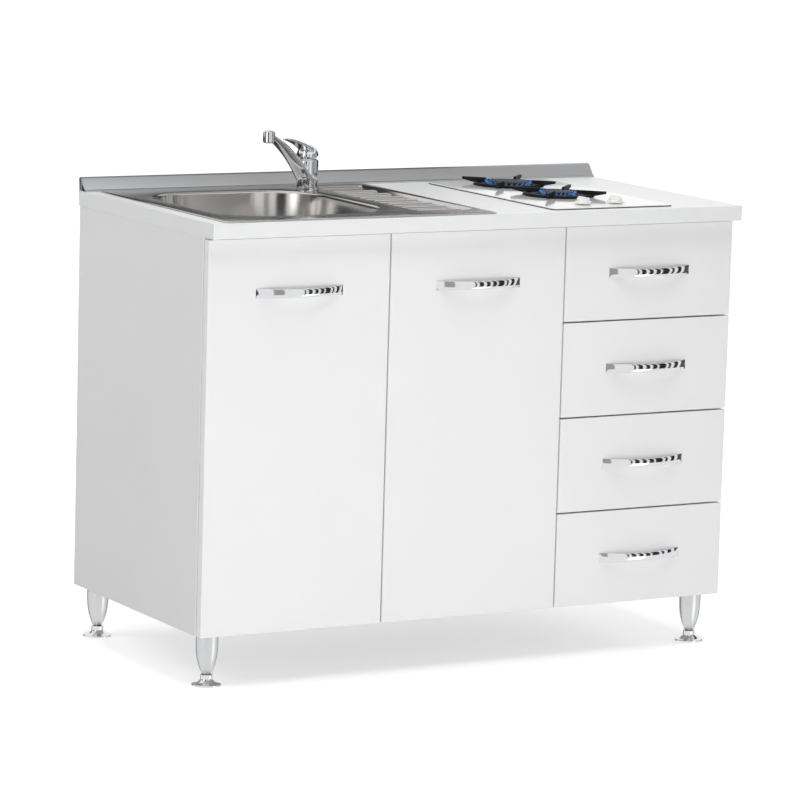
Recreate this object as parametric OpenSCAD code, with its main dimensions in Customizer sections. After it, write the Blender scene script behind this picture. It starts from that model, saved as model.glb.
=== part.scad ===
// Kitchenette unit: a floor-standing cabinet on four legs, with two doors under a sink bowl
// and ribbed drainer, four drawers under a two-burner gas hob, an aluminium upstand along
// the wall side and a single-lever mixer tap.
// The origin is on the floor under the middle of the worktop. X runs to the right, Y to the
// back and Z up. All sizes are in millimetres and all angles in degrees.

/* [Cabinet] */
// Width of the worktop
unit_w = 1200; // [1180:5:1240]
// Depth of the worktop
unit_d = 600; // [590:5:620]
// Height of the worktop's top above the floor
unit_h = 910; // [890:5:930]
// Thickness of the worktop
top_t = 30; // [28:1:34]
// Thickness of the carcass boards
panel_t = 18; // [16:1:19]
// How far the worktop stands past each side panel
side_inset = 2; // [1:0.5:4]
// How far the worktop stands past the carcass at the back
back_inset = 2; // [1:0.5:4]
// How far the worktop stands past the fronts
front_overhang = 26; // [24:1:28]
// Thickness of the back boards
back_t = 3; // [3:0.5:5]
// Free depth behind the back boards
service_gap = 14; // [12:1:18]
// Depth of the groove that holds a back board
groove_depth = 6; // [4:1:8]
// Height of the front top rails
front_rail_h = 42; // [36:1:45]
// Height of the rear top rails
rear_rail_h = 90; // [70:5:110]

/* [Fronts] */
// Thickness of the doors and drawer fronts
front_t = 18; // [16:1:19]
// Gap between neighbouring fronts
front_gap = 3; // [2:0.5:4]
// Gap between the fronts and the worktop
top_gap = 4; // [3:0.5:6]
// Gap between the fronts and the carcass edges
bumper_gap = 2; // [2:0.5:3]
// Width of the drawer column
drawer_module = 398; // [390:1:405]
// Distance from the top of a door to the middle of its handle
door_handle_drop = 106; // [80:1:140]

/* [Drawers] */
// Number of drawers
drawer_count = 4; // [4:1:4]
// Free depth behind a drawer box
box_back_gap = 57; // [40:1:80]
// Height of a drawer box
box_h = 112; // [90:1:113]
// Thickness of the drawer box boards
box_t = 12; // [11:1:14]
// Thickness of a drawer bottom
box_bottom_t = 4; // [3:0.5:5]
// Height of a drawer bottom above the lower edge of its box
box_bottom_rise = 8; // [6:1:10]
// Height of a box above the lower edge of its front
box_lift = 34; // [33:1:36]
// Space for the runners on each side of a box
runner_space = 12.5; // [12.5:0.1:13]

/* [Runners] */
// Sheet thickness of the runners
runner_t = 1.2; // [1:0.1:1.5]
// Height of a cabinet runner
runner_h = 32; // [31:1:36]
// Free depth behind a cabinet runner
runner_back_gap = 31; // [20:1:45]
// Radius of the rollers
roller_r = 10; // [9:0.5:10.5]
// Width of the rollers
roller_w = 6; // [5:0.5:7]

/* [Handles] */
// Length of a handle
handle_len = 190; // [170:1:200]
// How far a handle stands out
handle_out = 25; // [22:1:26]
// Height of a handle at its ends
handle_h = 20; // [18:1:24]
// Height of a handle at its middle
handle_mid_h = 17; // [14:1:18]
// Thickness of the handle strap
handle_t = 5; // [4:0.5:6]
// Length of each handle foot
handle_foot = 14; // [12:1:18]

/* [Hinges] */
// Distance of a hinge from the end of its door
hinge_end = 100; // [80:5:140]
// Radius of the hinge cup
cup_r = 17.5; // [17.5:0.5:18]
// Depth of the hinge cup in the door
cup_depth = 11.5; // [11:0.1:12]
// Distance from the door's edge to the middle of the cup
cup_edge = 22.5; // [22:0.5:24]
// Wall thickness of the hinge cup
cup_wall = 1.2; // [1:0.1:1.5]

/* [Legs] */
// Height of a leg with its foot
leg_h = 104; // [98:1:112]
// Radius of a leg at its top
leg_r = 22.3; // [20:0.1:24]
// Radius of a leg at its neck
neck_r = 8.9; // [8.5:0.1:11]
// Height of the neck above the floor
neck_z = 22; // [20:1:26]
// Inset of the leg axes from the cabinet's sides
leg_side_inset = 40; // [36:1:60]
// Inset of the front leg axes from the fronts
leg_front_inset = 46; // [44:1:60]
// Inset of the rear leg axes from the back of the carcass
leg_back_inset = 32; // [30:1:60]
// Radius of a foot
foot_r = 29; // [26:0.5:31]
// Radius of the foot's threaded stem
stem_r = 5; // [4:0.5:5]

/* [Sink] */
// Width of the sink
sink_w = 600; // [590:2:604]
// Distance from the worktop's left end to the sink
sink_side = 29; // [27:1:31]
// Distance from the worktop's front edge to the sink
sink_front = 3; // [2:0.5:4]
// Sheet thickness of the sink
sheet_t = 1.2; // [1:0.1:1.5]
// Height of the sink's deck above the worktop
deck_rise = 3; // [3:0.5:4]
// Width of the bowl
bowl_w = 370; // [350:1:375]
// Height of the bowl
bowl_h = 160; // [140:1:175]
// Corner radius of the bowl
bowl_r = 110; // [90:1:120]
// Distance from the sink's left edge to the bowl
bowl_side = 42; // [40:1:48]
// Distance from the sink's front edge to the bowl
bowl_front = 66; // [66:1:90]
// Distance from the bowl to the sink's back edge
bowl_back = 77; // [60:1:100]
// Distance from the drainer's field to the sink's right edge
drain_side = 20; // [19:1:30]
// Distance from the bowl to the drainer's field
drain_gap = 44; // [40:1:48]
// Number of ribs on the drainer
rib_count = 8; // [6:1:9]

/* [Waste] */
// Radius of the waste's strainer cup
waste_r = 42; // [38:0.5:44]
// Radius of the drain pipe
pipe_r = 20; // [16:0.5:20]
// Height of the drain outlet above the floor
outlet_z = 600; // [570:5:620]

/* [Tap] */
// Distance from the bowl's right edge to the tap's axis
tap_side = 7.5; // [6:0.5:9]
// Distance from the sink's back edge to the tap's axis
tap_back = 98; // [94:1:102]
// Direction of the spout, from the right towards the back
tap_angle = 220; // [180:5:260]
// Radius of the tap's body
tap_r = 22.5; // [21:0.5:24]
// Reach of the spout
spout_reach = 208; // [190:1:230]
// Height of the aerator's middle above the deck
spout_rise = 126; // [120:1:140]
// Height of the lever's tilt axis above the deck
lever_z = 70; // [69:0.5:72]
// Reach of the lever
lever_reach = 126; // [110:1:135]

/* [Hob] */
// Width of the hob plate
hob_w = 280; // [270:1:290]
// Distance from the worktop's right end to the middle of the hob
hob_side = 288; // [284:1:290]
// Distance from the worktop's front edge to the hob plate
hob_front = 30; // [26:1:40]
// Distance from the hob plate to the upstand
hob_back = 29; // [24:1:40]
// Height of the hob plate above the worktop
hob_rise = 3.5; // [3:0.5:6]
// Corner radius of the hob plate
hob_r = 10; // [6:1:16]
// Radius of the spill dishes
dish_r = 74; // [70:1:78]
// Flame ring radius of the rear burner
rear_crown_r = 42; // [38:1:44]
// Flame ring radius of the front burner
front_crown_r = 31; // [26:1:36]
// Number of flame ports on a burner
port_count = 24; // [16:2:30]
// Reach of the pan support arms
arm_reach = 100; // [90:1:104]
// Height of the pan supports above the hob plate
support_h = 13; // [12:1:24]
// Radius of the knobs
knob_r = 17; // [15:0.5:19]
// Height of the knobs
knob_h = 13; // [12:0.5:20]

/* [Hidden] */
$fn = 64;

// Colours
melamine = "#dcdcdc";
lacquer = "#ececec";
hardboard = "#d8d4cc";
aluminium = "#b4b6b8";
satin = "#c4c6c8";
chrome = "#d8dadc";
zinc = "#a8acb0";
steel = "#b8babc";
plastic = "#f0f0ee";
enamel_white = "#f4f4f4";
enamel_black = "#202224";

// Shared clearances
run_fit = 0.05; // a turning or sliding shaft in its bore, on the radius
free_gap = 0.5; // neighbouring pieces of different bodies
cut = 1; // how far a cutting body passes the face it cuts
ring_points = 24; // points round one ring of a blade
blade_close = 0.96; // 1 would draw a rounded end in to a point
bow_fn = 256;

// Planes of the cabinet
x_end = unit_w / 2 - side_inset;
x_in = x_end - panel_t;
x_split = x_end - drawer_module;
x_mid = (x_split - x_end) / 2;
y_front = -unit_d / 2;
y_back = unit_d / 2;
y_face = y_front + front_overhang;
y_rear = y_face + front_t;
y_edge = y_rear + bumper_gap;
y_carcass = y_back - back_inset;
y_board = y_carcass - service_gap;
y_lining = y_board - back_t;
z_under = unit_h - top_t;
z_front = z_under - top_gap;
z_floor = leg_h + panel_t;

// Cut-out in the sink's back board for the water and waste pipes
plumb_x0 = -500;
plumb_x1 = -120;
plumb_z0 = 480;
plumb_z1 = 720;

// Upstand profile
upstand_d = 31;
upstand_h = 28;
upstand_lip = 3;
upstand_step = 4;
upstand_wall = 1.8;
upstand_nose = 5;
upstand_chambers = 3;

// Drawers
front_h = (z_front - leg_h - (drawer_count - 1) * front_gap) / drawer_count;
bay_x0 = x_split + panel_t / 2;
bay_x1 = x_in;
box_x0 = bay_x0 + runner_space;
box_x1 = bay_x1 - runner_space;
box_len = y_lining - box_back_gap - y_rear;
function front_z(i) = z_front - i * front_h - (i - 1) * front_gap;
function box_z(i) = front_z(i) + box_lift;

// Runner section, measured from the lower edge of the box
slide_h = 12; // height of the drawer rail's web
roller_play = 0.3; // rollers to the faces they run on
slide_under = box_t; // width of the lip under the box side
slide_out = runner_space - runner_t - free_gap;
roller_z = slide_h - runner_t - roller_play - roller_r;
rear_roller_r = roller_r + 2;
channel_z = roller_z - rear_roller_r - roller_play - runner_t;
channel_out = runner_space - runner_t - free_gap - runner_t;
roller_end = 22; // roller axis from the end of its rail
rail_setback = 4; // cabinet rail from the carcass edge
runner_len = y_lining - runner_back_gap - y_edge - rail_setback;

// Sink
sink_x0 = -unit_w / 2 + sink_side;
sink_x1 = sink_x0 + sink_w;
sink_y0 = y_front + sink_front;
sink_y1 = y_back - upstand_d - sink_front;
z_deck = unit_h + deck_rise;
bowl_x0 = sink_x0 + bowl_side;
bowl_y0 = sink_y0 + bowl_front;
bowl_d = sink_y1 - bowl_back - bowl_y0;
bowl_cx = bowl_x0 + bowl_w / 2;
bowl_cy = bowl_y0 + bowl_d / 2;
z_bowl = z_deck - bowl_h;
bowl_taper = 14; // how much the bowl draws in towards its floor
bowl_fillet = 38; // radius between the bowl's wall and floor
bowl_steps = 5; // bands in that fillet
rim_flare = 5; // rolled edge round the bowl
core_lap = 24; // how far the bowl's core block runs into its walls
drain_x0 = bowl_x0 + bowl_w + drain_gap;
drain_w = sink_x1 - drain_side - drain_x0;
drain_inset = 34; // drainer's field from the sink's back edge
drain_y0 = bowl_y0 - 2;
drain_y1 = sink_y1 - drain_inset;
drain_depth = 5;
drain_r = 14;
rib_r = 7; // radius of a rib's crest
rib_rise = 4; // height of a rib above the field
rib_end = 9; // field left free at each end of a rib
cutout_side = 16; // sink flange resting on the worktop at its left and right
cutout_front = 64; // front edge of the cut-out from the worktop's front edge
cutout_back = 16; // sink flange resting on the worktop at its back
cutout_r = 20;

// Waste
waste_lip = 12; // width of the flange on the bowl's floor
waste_t = 1.5;
waste_depth = 36;
nut_h = 9;
nut_wall = 8;
tube_z = z_bowl - waste_depth;
bottle_r = 31;
bottle_h = 92;
bottle_cap_h = 16;
bottle_shoulder = 12; // top of the bottle above its outlet
outlet_y = y_carcass;
pipe_wall = 1.8;
strainer_gap = 1.5;
strainer_depth = 24;
strainer_bevel = 6;
strainer_holes = 8;
strainer_hole_r = 3;
lift_r = 8; // knob that lifts the strainer
lift_stem_r = 4;
lift_h = 8;

// Tap
tap_x = bowl_x0 + bowl_w + tap_side;
tap_y = sink_y1 - tap_back;
tap_ring_r = tap_r + 3;
tap_ring_h = 7;
tap_body_h = 62; // top of the body above the deck
tap_bore_r = 15;
tap_cap_t = 2; // closed top of the turning body
shank_wall = 3;
tap_hole_r = 17.5;
shank_r = 16;
shank_len = 46;
tap_nut_r = 26;
tap_nut_h = 8;
inlet_r = 5;
inlet_len = 24;
inlet_off = 7;
groove_z = 27; // ring groove on the body
groove_w = 1.2;
ball_r = 19;
cap_play = 0.6; // ball to lever cap
cap_t = 2.9;
spout_line = [[6, 20], [88, 88], [spout_reach, spout_rise + 2]]; // reach, height
spout_sizes = [[38, 22], [30, 16], [22, 14]]; // width, height
spout_belly = 0.7;
spout_rings = 10;
spout_head_r = 12;
spout_head_h = 24;
aerator_r = 10;
aerator_h = 5;
aerator_out = 1.5; // how far the aerator stands out of the spout
lever_line = [[4, 12], [58, 35], [lever_reach, 44]]; // reach, height above the tilt axis
lever_sizes = [[32, 14], [25, 8], [17, 6]]; // width, height
lever_belly = 0.6;
lever_rings = 12;
lever_round = 0.8; // where the lever's end begins to round off
cap_slope = 12; // tilt of the cap's lower edge

// Hob
hob_x = unit_w / 2 - hob_side;
hob_y0 = y_front + hob_front;
hob_d = y_back - upstand_d - hob_back - hob_y0;
hob_y = hob_y0 + hob_d / 2;
z_hob = unit_h + hob_rise;
hob_sheet = 1.2;
rear_share = 0.31; // burners and knobs from the hob's middle, as shares of its depth
front_share = -0.08;
knob_share = -0.39;
rear_dy = rear_share * hob_d;
front_dy = front_share * hob_d;
knob_dy = knob_share * hob_d;
knob_dx = 38;
tray_inset = 40; // tray's sides from the plate's edges
tray_end = 35; // tray's ends from the plate's edges
tray_drop = 47; // tray's floor below the worktop's top
tray_t = 1;
tray_gap = 6; // tray to the cut-out at its sides
tray_end_gap = 10;
tray_w = hob_w - 2 * tray_inset;
tray_d = hob_d - 2 * tray_end;
tray_z = unit_h - tray_drop;
hob_cut_w = tray_w + 2 * tray_gap;
hob_cut_d = tray_d + 2 * tray_end_gap;
dish_lip = 2;
dish_hole = dish_r - 14;
dish_floor_r = dish_hole - 9;
dish_drop = 5;
dish_t = 1.2;
throat_r = 17; // mixing tube under a burner
throat_hole = 19;
crown_h = 9;
crown_base_h = 3;
crown_foot = 3; // how far the crown's foot flares
crown_wall = 6;
spigot_play = 1;
port_w = 2.4;
port_h = 3.5;
cap_h = 3.5;
cap_spigot_h = 2;
cap_over = 1.5; // cap past the flame ring
cap_crown = 1; // rise of the cap's middle
ring_w = 6;
ring_h = 4;
arm_w = 5;
arm_gap = 6; // arm tips to the burner cap
arm_nose = 5; // depth of an arm at its tip
spindle_r = 3;
spindle_h = 10;
knob_lift = 1.5; // knob above the plate
knob_step = 4; // grip's radius less than the skirt's
grip_w = 6;
grip_rise = 2; // bar above the grip's face
gas_pipe_r = 8;
gas_drop = 26; // gas pipe below the worktop's top
gas_z = unit_h - gas_drop;
inlet_pipe_r = 10.5;
gas_inset = 16; // gas pipe from the tray's side
gas_end = 20; // gas inlet from the tray's end
gas_x = tray_w / 2 - gas_inset;
gas_rear_y = tray_d / 2 - gas_end;
gas_stub = 18; // inlet below the tray
gas_shoulder = 3;
valve_r = 9;

// ---------------------------------------------------------------- shared shapes

// A board or block between two opposite corners.
module board(low, high) translate(low) cube(high - low);

// A plan outline with round corners, centred on the origin.
module rounded_rect(w, d, r) {
    square([w - 2 * r, d], center = true);
    square([w, d - 2 * r], center = true);
    for (sx = [-1, 1])
        for (sy = [-1, 1])
            translate([sx * (w / 2 - r), sy * (d / 2 - r)]) circle(r);
}

// A tube along Z from z0 to z1.
module tube(r_out, r_in, z0, z1) translate([0, 0, z0]) difference() {
    cylinder(h = z1 - z0, r = r_out);
    translate([0, 0, -cut]) cylinder(h = z1 - z0 + 2 * cut, r = r_in);
}

// A point and the slope of a bent line at t from 0 to 1. The line has a start, a point that
// it bends towards, and an end, each as [reach, height].
function bent(line, t) =
    (1 - t) * (1 - t) * line[0] + 2 * t * (1 - t) * line[1] + t * t * line[2];
function bent_slope(line, t) =
    let (way = (1 - t) * (line[1] - line[0]) + t * (line[2] - line[1])) atan2(way[1], way[0]);

// One ring of points round a bent line: size is its width and height, and belly is how full
// it is below the line.
function blade_ring(line, size, belly, t) =
    let (mid = bent(line, t), slope = bent_slope(line, t))
        [for (i = [0 : ring_points - 1])
            let (
                turn = 360 * i / ring_points,
                side = size[0] / 2 * cos(turn),
                rise = size[1] / 2 * sin(turn) * (sin(turn) < 0 ? belly : 1)
            )
                [mid[0] - rise * sin(slope), -side, mid[1] + rise * cos(slope)]];

// How much a blade keeps of its size at t when its end is rounded from t = start on.
function rounded_end(t, start) =
    t < start ? 1 : sqrt(1 - pow(blade_close * (t - start) / (1 - start), 2));

// A closed skin over a row of rings with equal numbers of points.
module loft(rings) {
    last = (len(rings) - 1) * ring_points;
    polyhedron(
        points = [for (ring = rings) each ring],
        faces = concat(
            [[for (i = [0 : ring_points - 1]) ring_points - 1 - i]],
            [for (low = [0 : ring_points : last - 1]) for (i = [0 : ring_points - 1])
                [low + i, low + (i + 1) % ring_points, low + ring_points + (i + 1) % ring_points]],
            [for (low = [0 : ring_points : last - 1]) for (i = [0 : ring_points - 1])
                [low + i, low + ring_points + (i + 1) % ring_points, low + ring_points + i]],
            [[for (i = [0 : ring_points - 1]) last + i]]
        )
    );
}

// ---------------------------------------------------------------- carcass

// One side panel, with its groove for the back board. side is -1 on the left and 1 on the right.
module side_panel(side) {
    x_low = side < 0 ? -x_end : x_in;
    groove_x = side < 0 ? -x_in - groove_depth : x_in;
    color(melamine) difference() {
        board([x_low, y_edge, leg_h], [x_low + panel_t, y_carcass, z_under]);
        board(
            [groove_x - (side < 0 ? 0 : cut), y_lining, leg_h - cut],
            [groove_x + groove_depth + (side < 0 ? cut : 0), y_board, z_under + cut]
        );
    }
}

// Upright between the sink bay and the drawer bay.
module partition_panel() color(melamine)
    board([x_split - panel_t / 2, y_edge, z_floor], [x_split + panel_t / 2, y_lining, z_under]);

module bottom_panel() color(melamine)
    board([-x_in, y_edge, leg_h], [x_in, y_lining, z_floor]);

// Two thin boards that slide down the grooves, the left one with an opening for the pipes.
module back_boards() color(hardboard) {
    difference() {
        board([-x_in - groove_depth, y_lining, leg_h], [x_split, y_board, z_under]);
        board([plumb_x0, y_lining - cut, plumb_z0], [plumb_x1, y_board + cut, plumb_z1]);
    }
    board([x_split, y_lining, leg_h], [x_in + groove_depth, y_board, z_under]);
}

// Rails that tie the panels together under the worktop, one pair for each bay.
module top_rails() color(melamine)
    for (bay = [[-x_in, x_split - panel_t / 2], [x_split + panel_t / 2, x_in]]) {
        board([bay[0], y_edge, z_under - front_rail_h], [bay[1], y_edge + panel_t, z_under]);
        board([bay[0], y_lining - panel_t, z_under - rear_rail_h], [bay[1], y_lining, z_under]);
    }

module worktop() color(lacquer) difference() {
    board([-unit_w / 2, y_front, z_under], [unit_w / 2, y_back, unit_h]);
    sink_cutout();
    hob_cutout();
}

module sink_cutout() {
    x_low = sink_x0 + cutout_side;
    x_high = sink_x1 - cutout_side;
    y_low = y_front + cutout_front;
    y_high = sink_y1 - cutout_back;
    translate([(x_low + x_high) / 2, (y_low + y_high) / 2, z_under - cut])
        linear_extrude(top_t + 2 * cut) rounded_rect(x_high - x_low, y_high - y_low, cutout_r);
}

module hob_cutout() translate([hob_x, hob_y, z_under - cut])
    linear_extrude(top_t + 2 * cut) rounded_rect(hob_cut_w, hob_cut_d, hob_r);

// Extruded aluminium strip with a sloping face, a lip along its foot and open chambers.
module upstand() color(aluminium)
    translate([-unit_w / 2, y_back - upstand_d, unit_h]) rotate([90, 0, 90])
        linear_extrude(unit_w) difference() {
            upstand_outline();
            upstand_cavity();
        }

module upstand_outline() {
    polygon([
        [0, 0], [0, upstand_lip], [upstand_step, upstand_step],
        [upstand_d - 2 * upstand_nose, upstand_h - upstand_nose / 2],
        [upstand_d - upstand_nose, upstand_h], [upstand_d, upstand_h - upstand_nose / 2],
        [upstand_d, 0]
    ]);
}

module upstand_cavity() {
    inner_h = upstand_h - upstand_nose;
    low_y = upstand_step + 2 * upstand_wall;
    high_y = upstand_d - upstand_wall;
    pitch = (high_y - low_y) / upstand_chambers;
    for (i = [0 : upstand_chambers - 1])
        intersection() {
            polygon([
                [low_y, upstand_wall], [low_y, upstand_step], [high_y - upstand_nose, inner_h],
                [high_y, inner_h], [high_y, upstand_wall]
            ]);
            translate([low_y + i * pitch, 0]) square([pitch - upstand_wall, upstand_h]);
        }
}

// ---------------------------------------------------------------- legs

leg_x = x_end - leg_side_inset;
leg_y_front = y_face + leg_front_inset;
leg_y_rear = y_carcass - leg_back_inset;
leg_steps = 10;
leg_power = 3.3; // how late the leg draws in towards its neck
stem_top = 60;
foot_edge = 3;
foot_bevel = 1;
foot_shoulder = 4; // width of the rounded shoulder at the rim
foot_flare_z = 6.5; // height of the flare midway between rim and collar
foot_collar_r = 12;
foot_collar_z = 12;

function leg_radius(t) = leg_r - (leg_r - neck_r) * pow(t, leg_power);

// A turned leg with a bore for the stem of its foot.
module leg(x, y) color(satin) translate([x, y, 0]) rotate_extrude() polygon(concat(
    [[0, leg_h]],
    [for (i = [0 : leg_steps])
        [leg_radius(i / leg_steps), leg_h - (leg_h - neck_z) * i / leg_steps]],
    [[stem_r, neck_z], [stem_r, stem_top], [0, stem_top]]
));

// A flared foot whose stem stands in the leg.
module foot(x, y) color(chrome) translate([x, y, 0]) rotate_extrude() polygon([
    [0, 0], [foot_r - foot_bevel, 0], [foot_r, foot_bevel], [foot_r, foot_edge],
    [foot_r - foot_shoulder, foot_edge + foot_shoulder / 2],
    [(foot_r + foot_collar_r) / 2, foot_flare_z],
    [foot_collar_r + foot_shoulder / 2, (foot_flare_z + foot_collar_z) / 2],
    [foot_collar_r, foot_collar_z], [foot_collar_r, neck_z - foot_bevel],
    [foot_collar_r - foot_bevel, neck_z], [stem_r, neck_z], [stem_r, stem_top], [0, stem_top]
]);

// ---------------------------------------------------------------- doors

hinge_z = [leg_h + hinge_end, z_front - hinge_end];
door_handle_z = z_front - door_handle_drop;
flange_t = 1.2;
flange_lip = 1;
flange_w = 56;
flange_d = 14;
handle_steps = 6;
arm_plate_l = 46;
arm_plate_h = 44;
arm_plate_t = 3;
arm_h = 14;
arm_side = 25; // far side of the arm from the turning axis
nose_side = 12; // near side of the nose from the turning axis
arm_len = 62;
arm_start = 14; // mounting plate from the carcass edge
axis_in = 6; // turning axis from the door's edge
axis_out = 3.5; // turning axis in front of the door's face
nose_in_r = 24.5;
nose_out_r = 31;
nose_height = 10;

function door_x0(left) = left ? -x_end + side_inset : x_mid + front_gap / 2;
function door_x1(left) = left ? x_mid - front_gap / 2 : x_split - front_gap / 2;
function axis_x(left) = left ? door_x0(left) + axis_in : door_x1(left) - axis_in;
function cup_x(left) = left ? door_x0(left) + cup_edge : door_x1(left) - cup_edge;

module door(left) color(lacquer) difference() {
    board([door_x0(left), y_face, leg_h], [door_x1(left), y_rear, z_front]);
    for (z = hinge_z)
        translate([cup_x(left), y_rear + cut, z]) rotate([90, 0, 0])
            cylinder(h = cup_depth + cut, r = cup_r);
}

// The pressed cups in a door, each with the flange that is screwed to the door's back.
module hinge_cups(left) color(zinc)
    for (z = hinge_z)
        translate([cup_x(left), y_rear, z]) rotate([90, 0, 0]) difference() {
            union() {
                cylinder(h = cup_depth, r = cup_r);
                translate([-flange_d / 2, -flange_w / 2, -flange_t])
                    cube([flange_d, flange_w, flange_t]);
                translate([0, 0, -flange_t]) cylinder(h = flange_t, r = cup_r + flange_lip);
            }
            translate([0, 0, -flange_t - cut])
                cylinder(h = cup_depth + flange_t + cut - cup_wall, r = cup_r - cup_wall);
        }

// An arm on the carcass: a plate on the panel, the arm and its curved nose, which follows
// the door's turning axis into the cup. It is drawn for a left door, from that axis, and
// wall is the distance from there to the panel.
module hinge_arm(wall) {
    back = y_edge - y_face + axis_out;
    board(
        [wall, back + arm_start, -arm_plate_h / 2],
        [wall + arm_plate_t, back + arm_start + arm_plate_l, arm_plate_h / 2]
    );
    board([wall + arm_plate_t, back + free_gap, -arm_h / 2], [arm_side, back + arm_len, arm_h / 2]);
    translate([0, 0, -nose_height / 2]) linear_extrude(nose_height) intersection() {
        difference() {
            circle(nose_out_r);
            circle(nose_in_r);
        }
        translate([nose_side, back - bumper_gap - cup_depth + cup_wall + free_gap])
            square([nose_out_r, cup_depth + bumper_gap]);
    }
}

module hinge_arms() color(zinc)
    for (z = hinge_z) {
        translate([axis_x(true), y_face - axis_out, z]) hinge_arm(-x_in - axis_x(true));
        translate([axis_x(false), y_face - axis_out, z]) mirror([1, 0, 0])
            hinge_arm(axis_x(false) - x_split + panel_t / 2);
    }

// A bow handle: a bent strap between two feet in plan, drawn in to a waist in front view.
module handle(x, z) color(chrome) translate([x, y_face, z]) intersection() {
    translate([0, 0, -handle_h / 2]) linear_extrude(handle_h) handle_plan();
    translate([0, cut, 0]) rotate([90, 0, 0]) linear_extrude(handle_out + 2 * cut) polygon(concat(
        [for (i = [-handle_steps : handle_steps]) handle_edge(i / handle_steps, 1)],
        [for (i = [-handle_steps : handle_steps]) handle_edge(-i / handle_steps, -1)]
    ));
}

function handle_edge(t, s) =
    [t * handle_len / 2, s * (handle_mid_h + (handle_h - handle_mid_h) * t * t) / 2];

module handle_plan() {
    bow_r = (pow(handle_len / 2, 2) + pow(handle_out, 2)) / (2 * handle_out);
    intersection() {
        translate([0, bow_r - handle_out]) circle(bow_r, $fn = bow_fn);
        difference() {
            translate([-handle_len / 2, -handle_out]) square([handle_len, handle_out]);
            intersection() {
                translate([0, bow_r - handle_out]) circle(bow_r - handle_t, $fn = bow_fn);
                translate([handle_foot - handle_len / 2, -handle_out])
                    square([handle_len - 2 * handle_foot, handle_out + cut]);
            }
        }
    }
}

door_cx = [(door_x0(true) + door_x1(true)) / 2, (door_x0(false) + door_x1(false)) / 2];

// ---------------------------------------------------------------- drawers

drawer_x0 = x_split + front_gap / 2;
drawer_x1 = x_end - side_inset;

module drawer_front(i) color(lacquer)
    board([drawer_x0, y_face, front_z(i)], [drawer_x1, y_rear, front_z(i) + front_h]);

// Two sides, an inner front, a back and a bottom.
module drawer_box(i) {
    z_low = box_z(i);
    z_high = z_low + box_h;
    y_end = y_rear + box_len;
    color(melamine) {
        board([box_x0, y_rear, z_low], [box_x0 + box_t, y_end, z_high]);
        board([box_x1 - box_t, y_rear, z_low], [box_x1, y_end, z_high]);
        board([box_x0 + box_t, y_rear, z_low], [box_x1 - box_t, y_rear + box_t, z_high]);
        board([box_x0 + box_t, y_end - box_t, z_low], [box_x1 - box_t, y_end, z_high]);
        board(
            [box_x0 + box_t, y_rear + box_t, z_low + box_bottom_rise],
            [box_x1 - box_t, y_end - box_t, z_low + box_bottom_rise + box_bottom_t]
        );
    }
}

// Puts a left-hand runner, drawn with its box side at x = 0 and the wall at negative x, on
// both sides of drawer i.
module runner_pair(i) {
    translate([box_x0, 0, box_z(i)]) children();
    translate([box_x1, 0, box_z(i)]) mirror([1, 0, 0]) children();
}

// The channel on the cabinet wall, with the roller at its front that carries the drawer.
module cabinet_rail() {
    y_low = y_edge + rail_setback;
    y_high = y_low + runner_len;
    wall = -runner_space;
    board([wall, y_low, channel_z], [wall + runner_t, y_high, channel_z + runner_h]);
    board([wall, y_low, channel_z], [wall + channel_out, y_high, channel_z + runner_t]);
    board(
        [wall, y_low + 2 * roller_end, channel_z + runner_h - runner_t],
        [wall + channel_out, y_high, channel_z + runner_h]
    );
    translate([wall + runner_t / 2, y_low + roller_end, roller_z]) rotate([0, 90, 0])
        cylinder(h = roller_w + runner_t, r = roller_r);
}

// The angle on the box, with the roller at its back that runs in the channel.
module drawer_rail() {
    y_high = y_rear + box_len;
    board([-runner_t, y_rear, -runner_t], [0, y_high, slide_h]);
    board([-runner_t, y_rear, -runner_t], [slide_under, y_high, 0]);
    board([-slide_out, y_rear, slide_h - runner_t], [0, y_high, slide_h]);
    translate([-runner_t / 2, y_high - roller_end, channel_z + runner_t + roller_play + rear_roller_r])
        rotate([0, -90, 0]) cylinder(h = roller_w + runner_t, r = rear_roller_r);
}

module drawer_rails_fixed() color(zinc)
    for (i = [1 : drawer_count]) runner_pair(i) cabinet_rail();

module drawer_rails(i) color(plastic) runner_pair(i) drawer_rail();

drawer_handle_x = (drawer_x0 + drawer_x1) / 2;

// ---------------------------------------------------------------- sink

// Section of the bowl from its core rectangle outwards: floor, fillet, drawn-in wall and
// rolled rim. grow is 0 for the inside and the sheet's thickness for the outside.
function bowl_section(grow, top) = concat(
    [[0, z_bowl - grow]],
    [for (i = [0 : bowl_steps])
        let (turn = 90 * (1 - i / bowl_steps))
            [bowl_r - bowl_taper - bowl_fillet + (bowl_fillet + grow) * cos(turn),
             z_bowl + bowl_fillet - (bowl_fillet + grow) * sin(turn)]],
    [[bowl_r + grow, z_deck - rim_flare], [bowl_r + grow + rim_flare / 4, z_deck - rim_flare / 3],
     [bowl_r + grow + rim_flare, z_deck], [bowl_r + grow + rim_flare, top], [0, top]]
);

// The bowl's form: the section swept round the core, by straight walls and round corners.
module bowl_form(grow, top) {
    core_x = bowl_w / 2 - bowl_r;
    core_y = bowl_d / 2 - bowl_r;
    for (s = [-1, 1]) {
        translate([s * core_x, s * core_y, 0]) rotate([90, 0, 90 - 90 * s])
            linear_extrude(2 * core_y) polygon(bowl_section(grow, top));
        translate([-s * core_x, s * core_y, 0]) rotate([90, 0, 90 * s])
            linear_extrude(2 * core_x) polygon(bowl_section(grow, top));
    }
    for (i = [0 : 3])
        translate([sign(cos(45 + 90 * i)) * core_x, sign(sin(45 + 90 * i)) * core_y, 0])
            rotate([0, 0, 90 * i]) rotate_extrude(angle = 90) polygon(bowl_section(grow, top));
    board(
        [-core_x - core_lap, -core_y - core_lap, z_bowl - grow],
        [core_x + core_lap, core_y + core_lap, top]
    );
}

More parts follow.
